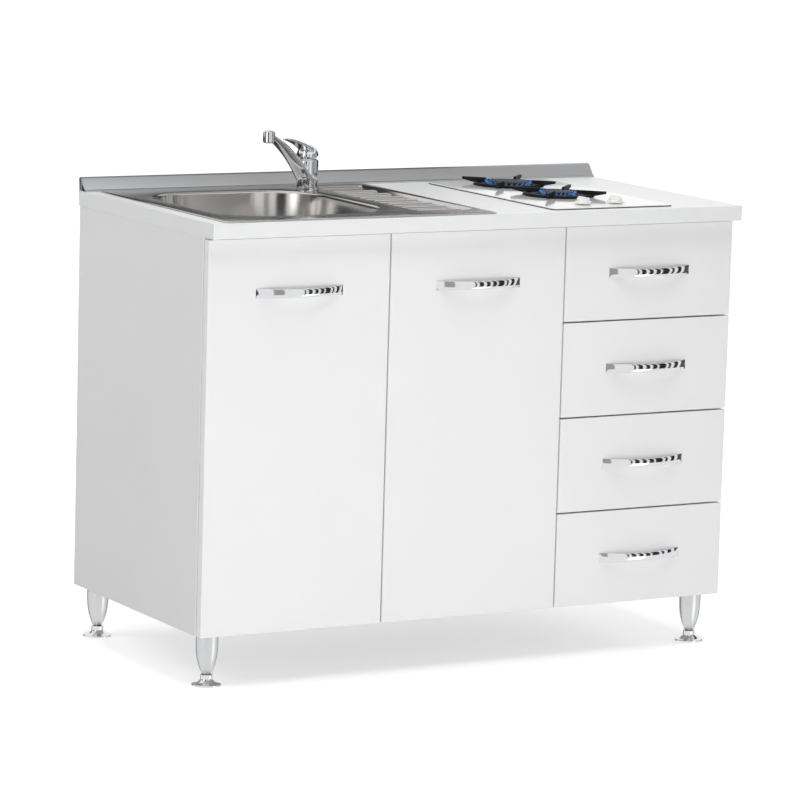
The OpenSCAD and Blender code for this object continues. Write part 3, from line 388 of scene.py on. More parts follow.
@dataclass
class Skin:
    """A mesh in the making, in millimetres."""

    points: list[Point] = field(default_factory=list)
    faces: list[tuple[int, ...]] = field(default_factory=list)

    def loft(self, rings: Sequence[Ring], start: bool = True, end: bool = True) -> "Skin":
        """Adds a skin over a row of rings with equal numbers of points.

        Args:
            rings: The rings, in order.
            start: Whether the first ring is closed by a face.
            end: Whether the last ring is closed by a face.

        Returns:
            The same skin.
        """
        base, n = len(self.points), len(rings[0])
        for ring in rings:
            self.points.extend(ring)
        for k in range(len(rings) - 1):
            low, high = base + k * n, base + (k + 1) * n
            for i in range(n):
                j = (i + 1) % n
                self.faces.append((low + i, low + j, high + j, high + i))
        if start:
            self.faces.append(tuple(base + i for i in reversed(range(n))))
        if end:
            last = base + (len(rings) - 1) * n
            self.faces.append(tuple(last + i for i in range(n)))
        return self

    def lathe(
        self,
        profile: Sequence[Pair],
        centre: Pair = (0.0, 0.0),
        segments: int = 64,
        capped: bool = True,
    ) -> "Skin":
        """Adds a turned shape about a vertical axis.

        Args:
            profile: Radius and height of each point, from one end to the other.
            centre: Place of the axis.
            segments: Points in each ring.
            capped: Whether an end that doesn't reach the axis is closed by a face.

        Returns:
            The same skin.
        """
        turns = [2 * math.pi * i / segments for i in range(segments)]
        rings = [
            [(centre[0] + r * math.cos(t), centre[1] + r * math.sin(t), z) for t in turns]
            for r, z in profile
        ]
        return self.loft(rings, capped and profile[0][0] > 0, capped and profile[-1][0] > 0)

    def join(self, other: "Skin", shift: Point = (0.0, 0.0, 0.0), flip: bool = False) -> "Skin":
        """Adds another skin.

        Args:
            other: The other skin.
            shift: How far it is moved.
            flip: Whether its faces are turned over.

        Returns:
            The same skin.
        """
        base = len(self.points)
        self.points += [(x + shift[0], y + shift[1], z + shift[2]) for x, y, z in other.points]
        for face in other.faces:
            self.faces.append(tuple(base + i for i in (reversed(face) if flip else face)))
        return self

    def turned(self, move: Matrix) -> "Skin":
        """Gives the skin moved by a matrix in millimetres."""
        return Skin([tuple(move @ Vector(p)) for p in self.points], list(self.faces))

    def piece(self, name: str, smooth: float = 35.0) -> Object:
        """Makes the skin an object.

        Args:
            name: The object's name.
            smooth: Edges that bend by less than this many degrees are shaded smooth.

        Returns:
            The object, at the origin, with its place in its mesh.
        """
        mesh = mesh_of(name, self.points, self.faces)
        with reworked(mesh) as work:
            bmesh.ops.remove_doubles(work, verts=work.verts, dist=SAME_POINT)
            bmesh.ops.dissolve_degenerate(work, edges=work.edges, dist=SAME_POINT / 10)
            bmesh.ops.recalc_face_normals(work, faces=work.faces)
        shade(mesh, smooth)
        return linked(name, mesh)


def rounded_ring(
    x: Pair, y: Pair, z: float, radius: float, inset: float = 0.0, corner: int = 12
) -> Ring:
    """Gives an outline with round corners, counter-clockwise from above.

    Args:
        x: Its lowest and highest X.
        y: Its lowest and highest Y.
        z: Its height.
        radius: Radius of its corners.
        inset: How far the whole outline is then drawn in.
        corner: Steps round each corner.

    Returns:
        The ring's points.
    """
    r = radius - inset
    left, right, near, far = x[0] + inset, x[1] - inset, y[0] + inset, y[1] - inset
    ring: Ring = []
    for k, (cx, cy) in enumerate(
        [(right - r, far - r), (left + r, far - r), (left + r, near + r), (right - r, near + r)]
    ):
        for i in range(corner + 1):
            t = QUARTER * (k + i / corner)
            ring.append((cx + r * math.cos(t), cy + r * math.sin(t), z))
    return ring


def spaced(ring: Ring, count: int) -> Ring:
    """Gives a closed ring again with evenly spaced points.

    Args:
        ring: The ring.
        count: How many points it gets.

    Returns:
        The new ring.
    """
    pts = [Vector(p) for p in ring] + [Vector(ring[0])]
    steps = [(b - a).length for a, b in zip(pts, pts[1:])]
    whole, out, k, done = sum(steps), [], 0, 0.0
    for i in range(count):
        want = whole * i / count
        while done + steps[k] < want:
            done += steps[k]
            k += 1
        share = (want - done) / steps[k] if steps[k] else 0.0
        out.append(tuple(pts[k].lerp(pts[k + 1], share)))
    return out


def is_inside(spot: Vector, ring: Ring) -> bool:
    """Tells whether a spot of the plan is inside a ring, by counting crossings.

    Args:
        spot: The spot.
        ring: The ring, whose heights play no part.

    Returns:
        True where the spot is inside.
    """
    odd = False
    for (ax, ay, _), (bx, by, _) in zip(ring, ring[1:] + ring[:1]):
        if (ay > spot.y) != (by > spot.y):
            if spot.x < (bx - ax) * (spot.y - ay) / (by - ay) + ax:
                odd = not odd
    return odd


def filled(
    outer: Ring,
    holes: Sequence[Ring],
    inner: Sequence[Point],
    height: Callable[[float, float], float],
) -> Skin:
    """Fills the plan between an outline and its holes with triangles.

    Args:
        outer: The outline.
        holes: Outlines left open.
        inner: Loose points that the triangles also use.
        height: Gives the height at a point of the plan.

    Returns:
        The filled skin.
    """
    plan: list[Vector] = []
    edges: list[tuple[int, int]] = []
    for ring in (outer, *holes):
        base, n = len(plan), len(ring)
        plan += [Vector(p[:2]) for p in ring]
        edges += [(base + i, base + (i + 1) % n) for i in range(n)]
    plan += [Vector(p[:2]) for p in inner]
    verts, _, faces, *_ = delaunay_2d_cdt(plan, edges, [], 0, 1e-5)
    made = Skin([(x, y, height(x, y)) for x, y in verts])
    for face in faces:
        middle = sum((verts[i] for i in face), Vector((0.0, 0.0))) / len(face)
        if is_inside(middle, outer) and not any(is_inside(middle, h) for h in holes):
            made.faces.append(tuple(face))
    return made


# ------------------------------------------------------------------ dressing


def dress(piece: Object, finish: Surface, body: str, slot: str | None, *nodes: str) -> None:
    """Gives a piece its material and its body, and hides the solids that it stands for.

    Args:
        piece: The object.
        finish: Its finish.
        body: The body it rides on.
        slot: Not used.
        *nodes: The solids that it stands for.
    """
    piece.data.materials.clear()
    piece.data.materials.append(finish.material())
    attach(piece, body)
    if nodes:
        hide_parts(*nodes)
    log.info("%s on %s, %d faces", piece.name, body, len(piece.data.polygons))


def coat_solid(node: str, finish: Finish) -> None:
    """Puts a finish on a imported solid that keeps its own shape.

    Args:
        node: The solid's name.
        finish: Its finish.
    """
    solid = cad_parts[node]
    solid.data.materials.clear()
    solid.data.materials.append(finish.material())
    log.info("%s keeps its solid", node)


def stand_in(
    node: str,
    kind: str,
    finish: Finish,
    body: str,
    slot: str,
    edge: float = 0.0,
    steps: int = 2,
    bend: float = 40.0,
    smooth: float = 30.0,
) -> None:
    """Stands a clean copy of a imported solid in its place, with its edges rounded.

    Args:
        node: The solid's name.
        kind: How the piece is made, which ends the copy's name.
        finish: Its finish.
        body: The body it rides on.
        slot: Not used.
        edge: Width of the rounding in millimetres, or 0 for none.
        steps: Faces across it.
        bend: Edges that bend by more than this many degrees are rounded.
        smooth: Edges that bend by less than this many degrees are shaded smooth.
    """
    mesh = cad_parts[node].data.copy()
    mesh.name = f"{node}_{kind}"
    with reworked(mesh) as work:
        bmesh.ops.remove_doubles(work, verts=work.verts, dist=SAME_POINT)
        bmesh.ops.dissolve_limit(
            work, angle_limit=math.radians(0.5), verts=work.verts, edges=work.edges
        )
    shade(mesh, smooth)
    made = linked(f"{node}_{kind}", mesh)
    if edge:
        round_off = made.modifiers.new("edges", "BEVEL")
        round_off.width = edge * MM
        round_off.segments = steps
        round_off.limit_method = "ANGLE"
        round_off.angle_limit = math.radians(bend)
        round_off.harden_normals = True
        round_off.use_clamp_overlap = True
    dress(made, finish, body, slot, node)


class Layout(Enum):
    """How copies of one shape are set out by a Geometry Nodes tree."""

    AROUND = "around"
    AT_POINTS = "at_points"


def repeat_tree(layout: Layout) -> NodeTree:
    """Builds the tree that sets out copies of a shape and makes them one mesh.

    Args:
        layout: A ring of copies that face outwards, or one copy at each point of the host.

    Returns:
        The tree, whose named inputs are the shape's sizes.
    """
    tree = bpy.data.node_groups.new(f"copies_{layout.value}", "GeometryNodeTree")
    for name, kind in {
        "Geometry": "Geometry",
        "Shape": "Object",
        "Finish": "Material",
        "Count": "Int",
        "Radius": "Float",
        "Start": "Float",
        "Turn": "Vector",
        "Place": "Vector",
    }.items():
        tree.interface.new_socket(name, in_out="INPUT", socket_type=f"NodeSocket{kind}")
    tree.interface.new_socket("Geometry", in_out="OUTPUT", socket_type="NodeSocketGeometry")
    given = add_node(tree, "NodeGroupInput").outputs
    shape = add_node(tree, "GeometryNodeObjectInfo", {"Object": given["Shape"]})
    points, turn = given["Geometry"], given["Turn"]
    if layout is Layout.AROUND:
        points = add_node(
            tree,
            "GeometryNodeMeshLine",
            {"Count": given["Count"], "Offset": (0.0, 0.0, 0.0)},
            mode="OFFSET",
        )
        index = add_node(tree, "GeometryNodeInputIndex")
        share = add_node(tree, "ShaderNodeMath", {0: index, 1: given["Count"]}, operation="DIVIDE")
        whole_turn = {0: share, 1: 2 * math.pi, 2: given["Start"]}
        angle = add_node(tree, "ShaderNodeMath", whole_turn, operation="MULTIPLY_ADD")
        turn = add_node(tree, "ShaderNodeCombineXYZ", {"Z": angle})
        out = add_node(tree, "ShaderNodeCombineXYZ", {"X": given["Radius"]})
        spin = {"Vector": out, "Rotation": turn}
        out = add_node(tree, "ShaderNodeVectorRotate", spin, rotation_type="EULER_XYZ")
        spot = add_node(tree, "ShaderNodeVectorMath", {0: out, 1: given["Place"]}, operation="ADD")
        points = add_node(tree, "GeometryNodeSetPosition", {"Geometry": points, "Position": spot})
    copies = add_node(
        tree,
        "GeometryNodeInstanceOnPoints",
        {"Points": points, "Instance": shape.outputs["Geometry"], "Rotation": turn},
    )
    whole = add_node(tree, "GeometryNodeRealizeInstances", {0: copies})
    coated = add_node(
        tree, "GeometryNodeSetMaterial", {"Geometry": whole, "Material": given["Finish"]}
    )
    add_node(tree, "NodeGroupOutput", {0: coated})
    return tree


def repeated(
    name: str,
    shape: Skin,
    finish: Surface,
    body: str,
    slot: str | None,
    layout: Layout,
    hosts: Sequence[Point] = ((0.0, 0.0, 0.0),),
    **sizes: Any,
) -> None:
    """Makes one piece of many copies of a shape with Geometry Nodes, and dresses it.

    Args:
        name: The piece's name.
        shape: The shape that is copied, round its own origin.
        finish: What the copies are made of.
        body: The body they ride on.
        slot: Not used.
        layout: How they are set out.
        hosts: The points that carry a copy each, in millimetres, for Layout.AT_POINTS.
        **sizes: The tree's other inputs, in metres and radians.
    """
    tree = bpy.data.node_groups.get(f"copies_{layout.value}") or repeat_tree(layout)
    pattern = shape.piece(name + "_shape")
    host = linked(name + "_host", mesh_of(name + "_host", hosts))
    nodes = host.modifiers.new("copies", "NODES")
    nodes.node_group = tree
    values = {"Shape": pattern, "Finish": finish.material(), **sizes}
    for socket in tree.interface.items_tree:
        if socket.in_out == "INPUT" and socket.name in values:
            nodes[socket.identifier] = values[socket.name]
    seen = host.evaluated_get(bpy.context.evaluated_depsgraph_get())
    made = linked(name, bpy.data.meshes.new_from_object(seen))
    made.data.name = name
    for gone in (host, pattern):
        bpy.data.objects.remove(gone)
    dress(made, finish, body, slot)


# ------------------------------------------------------------------ sub-assemblies


@dataclass
class Cabinet:
    """The carcass boards, the worktop and the upstand, with the rounding of their edges."""

    board_edge: float = 0.8
    top_edge: float = 1.6
    strip_edge: float = 0.5

    def build(self) -> None:
        """Makes the boards, the worktop and the upstand."""
        for node in (
            "side_panel_left",
            "side_panel_right",
            "partition_panel",
            "bottom_panel",
            "top_rails",
        ):
            stand_in(node, "board", CARCASS_BOARD, "cabinet", "melamine", self.board_edge)
        coat_solid("back_boards", HARDBOARD)
        stand_in("worktop", "slab", TOP_LAMINATE, "cabinet", "lacquer", self.top_edge, 3)
        stand_in(
            "upstand", "strip", BRUSHED_ALUMINIUM, "cabinet", "aluminium", self.strip_edge, bend=25
        )


@dataclass
class Legs:
    """Four turned legs on flared feet.

    The swell is the power of the curve from neck to top, in a number of rows, and the lip is the
    small land above the neck.
    """

    height: float = 104.0
    radius: float = 22.3
    neck_radius: float = 8.9
    neck_z: float = 22.0
    swell: float = 3.3
    rows: int = 24
    lip: float = 0.6
    foot_radius: float = 29.0
    x: float = 558.0
    y: Pair = (-228.0, 266.0)

    def leg_profile(self) -> list[Pair]:
        """Gives the leg's radius and height from its neck to its top.

        Returns:
            The profile, from the axis to the axis.
        """
        profile = [(0.0, self.neck_z), (self.neck_radius - 1, self.neck_z)]
        for i in range(self.rows + 1):
            t = 1 - i / self.rows
            r = self.radius - (self.radius - self.neck_radius) * t**self.swell
            profile.append((r, self.height - (self.height - self.neck_z - self.lip) * t))
        return profile + [(0.0, self.height)]

    def foot_profile(self) -> list[Pair]:
        """Gives the foot's radius and height: its rim, its flare and its collar.

        Returns:
            The profile, from the axis to the axis.
        """
        r = self.foot_radius
        rim = [(0, 0), (r - 1.2, 0), (r - 0.3, 0.4), (r, 1.2), (r, 2.8), (r - 0.6, 3.6)]
        flare = [
            (r - 2.2 - (r - 16.5) * t, 4.2 + 5.6 * t**2.6) for t in (i / 8 for i in range(9))
        ]
        collar = [(12.6, 11.2), (12.1, 12.6), (12.0, 14.0), (12.0, 20.6), (11.4, 21.6), (0, 22)]
        return rim + flare + collar

    def build(self) -> None:
        """Makes each leg and foot."""
        for row, y in zip(("front", "rear"), self.y):
            for side, x in (("left", -self.x), ("right", self.x)):
                leg, foot = f"leg_{row}_{side}", f"foot_{row}_{side}"
                made = Skin().lathe(self.leg_profile(), (x, y)).piece(leg + "_turned", 40)
                dress(made, SILVER_LACQUER, "cabinet", "satin_silver", leg)
                made = Skin().lathe(self.foot_profile(), (x, y)).piece(foot + "_flare", 30)
                dress(made, CHROME_PLATE, "cabinet", "chrome", foot)


@dataclass
class Handle:
    """A bow handle: a strap with a bevelled face between two feet.

    It has its sections closer towards its ends, and leaves the gaps free at the board's face and
    at both ends.
    """

    length: float = 190.0
    out: float = 25.0
    end_height: float = 20.0
    mid_height: float = 17.0
    strap: float = 5.0
    foot: float = 14.0
    thin: float = 0.4
    steps: int = 40
    face_y: float = -274.0
    face_gap: float = 0.02
    end_gap: float = 0.2

    @staticmethod
    def section(x: float, back: float, front: float, height: float) -> Ring:
        """Gives the strap's section at x, between its back and front planes.

        Args:
            x: Where the section is.
            back: Y of its back plane.
            front: Y of its front plane.
            height: Its height.

        Returns:
            The section's ring.
        """
        h, lip = height / 2, height * 0.30
        deep = min(2.2, (back - front) * 0.45)
        outline = [
            (back, -h + 0.6), (back - 0.5, -h), (front + deep, -h),
            (front + deep * 0.35, -h + lip * 0.55), (front, -h + lip), (front, 0),
            (front, h - lip * 0.5), (front + deep * 0.4, h - 0.5), (front + deep, h),
            (back - 0.5, h), (back, h - 0.6),
        ]
        return [(x, y, z) for y, z in outline]

    def skin(self) -> Skin:
        """Gives the handle round its own middle, with the board's face at y = 0.

        Returns:
            The skin.
        """
        half = self.length / 2
        bow = (half**2 + self.out**2) / (2 * self.out)
        rings = []
        for i in range(-self.steps, self.steps + 1):
            x = math.sin(i / self.steps * QUARTER) * (half - self.end_gap)
            front = bow - self.out - math.sqrt(bow**2 - x * x)
            back = -self.face_gap
            if abs(x) < half - self.foot:
                back = bow - self.out - math.sqrt((bow - self.strap) ** 2 - x * x)
            height = self.mid_height + (self.end_height - self.mid_height) * (x / half) ** 2
            rings.append(self.section(x, max(back, front + self.thin), front, height))
        return Skin().loft(rings)

    def build(self, node: str, body: str, x: float, z: float) -> None:
        """Makes the handle on a front.

        Args:
            node: The solid that it stands for.
            body: The body it rides on.
            x: The handle's middle.
            z: The handle's height.
        """
        move = Matrix.Translation((x, self.face_y, z))
        made = self.skin().turned(move).piece(node + "_bow", 28)
        dress(made, CHROME_PLATE, body, "chrome", node)


@dataclass
class Fronts:
    """The doors with their hinges, and the drawers with their boxes and runners.

    A reach is how far the screws stand above and below a hinge's middle.
    """

    handle: Handle = field(default_factory=Handle)
    door_x: dict[str, float] = field(default_factory=lambda: {"left": -398.25, "right": 0.5})
    door_handle_z: float = 770.0
    drawer_x: float = 398.75
    drawer_z: tuple[float, ...] = (780.625, 586.875, 393.125, 199.375)
    hinge_z: Pair = (204.0, 776.0)
    cup_x: dict[str, float] = field(default_factory=lambda: {"left": -573.5, "right": 176.0})
    cup_face: float = -254.8
    cup_reach: float = 24.0
    plate_x: dict[str, float] = field(default_factory=lambda: {"left": -577.0, "right": 188.0})
    plate_y: float = -222.0
    plate_reach: float = 16.0

    @staticmethod
    def screw(radius: float, head: float) -> Skin:
        """Gives a screw head with a round recess that looks along +Z."""
        profile = [(0, 0), (1, 0), (1, 0.35), (0.8, 0.8), (0.5, 1), (0.42, 0.55), (0, 0.45)]
        return Skin().lathe([(radius * r, head * z) for r, z in profile], segments=20)

    def screws(
        self, name: str, body: str, head: Skin, place: Pair, reach: float, turn: Point
    ) -> None:
        """Makes the screws of one side's two hinges.

        Args:
            name: The piece's name.
            body: The body it rides on.
            head: One screw's head, which looks along +Z.
            place: The X and Y of all four.
            reach: How far they stand above and below each hinge's middle.
            turn: How the heads are turned, in radians.
        """
        spots = [(*place, z + s * reach) for z in self.hinge_z for s in (-1, 1)]
        repeated(name, head, ZINC_PLATE, body, "zinc", Layout.AT_POINTS, spots, Turn=turn)

    def door(self, side: str) -> None:
        """Makes the door on the left or right side.

        Args:
            side: "left" or "right".
        """
        body, cups = f"door_{side}", f"hinge_cups_{side}"
        stand_in(body, "board", FRONT_BOARD, body, "lacquer", edge=1.0, steps=3)
        stand_in(cups, "pressed", ZINC_PLATE, body, "zinc", edge=0.3)
        self.handle.build(f"handle_{body}", body, self.door_x[side], self.door_handle_z)
        place, turn = (self.cup_x[side], self.cup_face), (-QUARTER, 0.0, 0.0)
        self.screws(f"cup_screws_{side}", body, self.screw(3.6, 1.1), place, self.cup_reach, turn)

    def drawer(self, k: int, z: float) -> None:
        """Makes the drawer with number k from the top, whose handle is at height z.

        Args:
            k: The number, from 1.
            z: Height of the handle's middle.
        """
        body, front, box = f"drawer_{k}", f"drawer_front_{k}", f"drawer_box_{k}"
        stand_in(front, "board", FRONT_BOARD, body, "lacquer", edge=1.0, steps=3)
        stand_in(box, "boards", CARCASS_BOARD, body, "melamine", edge=0.8)
        coat_solid(f"drawer_rails_{k}", POWDER_COAT)
        self.handle.build(f"handle_{body}", body, self.drawer_x, z)

    def build(self) -> None:
        """Makes the doors, the drawers, and what stays on the carcass."""
        for side in self.door_x:
            self.door(side)
        for k, z in enumerate(self.drawer_z, 1):
            self.drawer(k, z)
        stand_in("hinge_arms", "pressed", ZINC_PLATE, "cabinet", "zinc", edge=0.4)
        coat_solid("drawer_rails_fixed", POWDER_COAT)
        for (side, x), turn in zip(self.plate_x.items(), (QUARTER, -QUARTER)):
            name, place = f"plate_screws_{side}", (x, self.plate_y)
            head, turned = self.screw(4.0, 1.4), (0.0, turn, 0.0)
            self.screws(name, "cabinet", head, place, self.plate_reach, turned)


@dataclass
class Sink:
    """The pressed sink with its drainer, the waste and the trap.

    The bowl's rim rolls out by the flare, its walls draw in by the taper, and the fillet joins
    them to the floor. The grid is the inner points of the drainer's ribbed field, and count is
    the points of each ring.
    """

    x: Pair = (-571.0, 29.0)
    y: Pair = (-297.0, 266.0)
    deck: float = 913.0
    deck_radius: float = 12.0
    sheet: float = 1.2
    bowl_x: Pair = (-529.0, -159.0)
    bowl_y: Pair = (-231.0, 189.0)
    bowl_radius: float = 110.0
    floor: float = 753.0
    taper: float = 14.0
    fillet: float = 38.0
    flare: float = 5.0
    wall_inset: float = 0.3
    wall_drop: float = 6.5
    waste_radius: float = 43.5
    drain_x: Pair = (-115.0, 9.0)
    drain_y: Pair = (-233.0, 232.0)
    drain_depth: float = 5.0
    drain_radius: float = 14.0
    ribs: int = 8
    rib_half: float = 8.5
    rib_high: float = 4.0
    rib_end: float = 9.0
    rib_run: float = 7.0
    grid_margin: float = 7.0
    grid_step: Pair = (3.05, 1.61)
    grid_count: tuple[int, int] = (37, 281)
    count: int = 144

    def bowl_ring(self, inset: float, drop: float) -> Ring:
        """Gives the bowl's outline drawn in by an inset, at a depth below the deck.

        Args:
            inset: How far it is drawn in.
            drop: Its depth.

        Returns:
            The ring, with evenly spaced points.
        """
        z = self.deck - drop
        ring = rounded_ring(self.bowl_x, self.bowl_y, z, self.bowl_radius, inset, 24)
        return spaced(ring, self.count)

    def bowl_rings(self) -> list[Ring]:
        """Gives the bowl's rings from the deck down to the waste.

        Returns:
            The rings, in order.
        """
        rolled = ((1.0, 0.0), (0.62, 0.3), (0.3, 1.3), (0.08, 3.2))
        rings = [self.bowl_ring(-self.flare * share, drop) for share, drop in rolled]
        rings.append(self.bowl_ring(self.wall_inset, self.wall_drop))
        bend = self.deck - self.floor - self.fillet
        for t in (i / 8 for i in range(1, 9)):
            inset = self.wall_inset + (self.taper - self.wall_inset) * t
            rings.append(self.bowl_ring(inset, self.wall_drop + (bend - self.wall_drop) * t))
        for a in (QUARTER * i / 10 for i in range(1, 11)):
            inset = self.taper + self.fillet * (1 - math.cos(a))
            rings.append(self.bowl_ring(inset, bend + (self.fillet - 0.4) * math.sin(a)))
        last, cx, cy = rings[-1], sum(self.bowl_x) / 2, sum(self.bowl_y) / 2
        for t in (0.25, 0.5, 0.75, 0.92, 1.0):
            drop = 0.4 * t + (1.2 if t == 1.0 else 0.0)
            ring = []
            for px, py, pz in last:
                share = 1 + (self.waste_radius / math.hypot(px - cx, py - cy) - 1) * t
                ring.append((cx + (px - cx) * share, cy + (py - cy) * share, pz - drop))
            rings.append(ring)
        return rings

    def drain_ring(self, inset: float, drop: float) -> Ring:
        """Gives the drainer field's outline drawn in by an inset, at a depth below the deck."""
        z = self.deck - drop
        return spaced(
            rounded_ring(self.drain_x, self.drain_y, z, self.drain_radius, inset), self.count
        )

    def field_height(self, x: float, y: float) -> float:
        """Gives the height of the drainer's ribbed field at a point.

        Args:
            x: The point's X.
            y: The point's Y.

        Returns:
            The height.
        """
        low = self.deck - self.drain_depth
        pitch = (self.drain_y[1] - self.drain_y[0]) / self.ribs
        k = (y - self.drain_y[0]) / pitch - 0.5
        off = (k - round(k)) * pitch
        if not -0.5 < k < self.ribs - 0.5:
            return low
        near_end = min(x - self.drain_x[0], self.drain_x[1] - x) - self.rib_end
        side = max(0.0, 1 - (off / self.rib_half) ** 2)
        run = min(1.0, max(0.0, near_end / self.rib_run))
        return low + self.rib_high * side**1.2 * math.sin(run * QUARTER)

    def build(self) -> None:
        """Makes the sink, the waste, the strainer and the trap."""
        brim = ((0, 910.1), (0, 911.4), (0.5, 912.4), (1.6, 912.9), (3.2, self.deck))
        edge = [
            spaced(rounded_ring(self.x, self.y, z, self.deck_radius, inset), self.count * 2)
            for inset, z in brim
        ]
        bowl = self.bowl_rings()
        bank = ((-2.5, 0), (-1.2, 0.4), (0.4, 1.8), (1.8, 3.6), (3.2, 4.7), (4.8, self.drain_depth))
        slope = [self.drain_ring(inset, drop) for inset, drop in bank]
        skin = Skin()
        for rings in (edge, bowl, slope):
            skin.loft(rings, False, False)
        skin.join(filled(edge[-1], [bowl[0], slope[0]], [], lambda x, y: self.deck))
        left, near = self.drain_x[0] + self.grid_margin, self.drain_y[0] + self.grid_margin
        grid = [
            (left + self.grid_step[0] * i, near + self.grid_step[1] * j, 0.0)
            for i in range(self.grid_count[0])
            for j in range(self.grid_count[1])
        ]
        skin.join(filled(slope[-1], [], grid, self.field_height))
        made = skin.piece("sink_pressing", 40)
        with reworked(made.data) as work:
            if max(work.faces, key=lambda f: f.calc_area()).normal.z < 0:
                bmesh.ops.reverse_faces(work, faces=work.faces)
        wall = made.modifiers.new("sheet", "SOLIDIFY")
        wall.thickness = self.sheet * MM
        wall.offset = -1.0
        dress(made, SATIN_STEEL, "cabinet", "steel", "sink")
        for node, kind, finish, body, slot, width in (
            ("waste_fitting", "turned", SATIN_STEEL, "cabinet", "steel", 0.25),
            ("strainer_basket", "turned", SATIN_STEEL, "strainer_basket", "steel", 0.25),
            ("waste_trap", "moulded", WHITE_PLASTIC, "cabinet", "white_plastic", 0.8),
        ):
            stand_in(node, kind, finish, body, slot, width, bend=50, smooth=35)


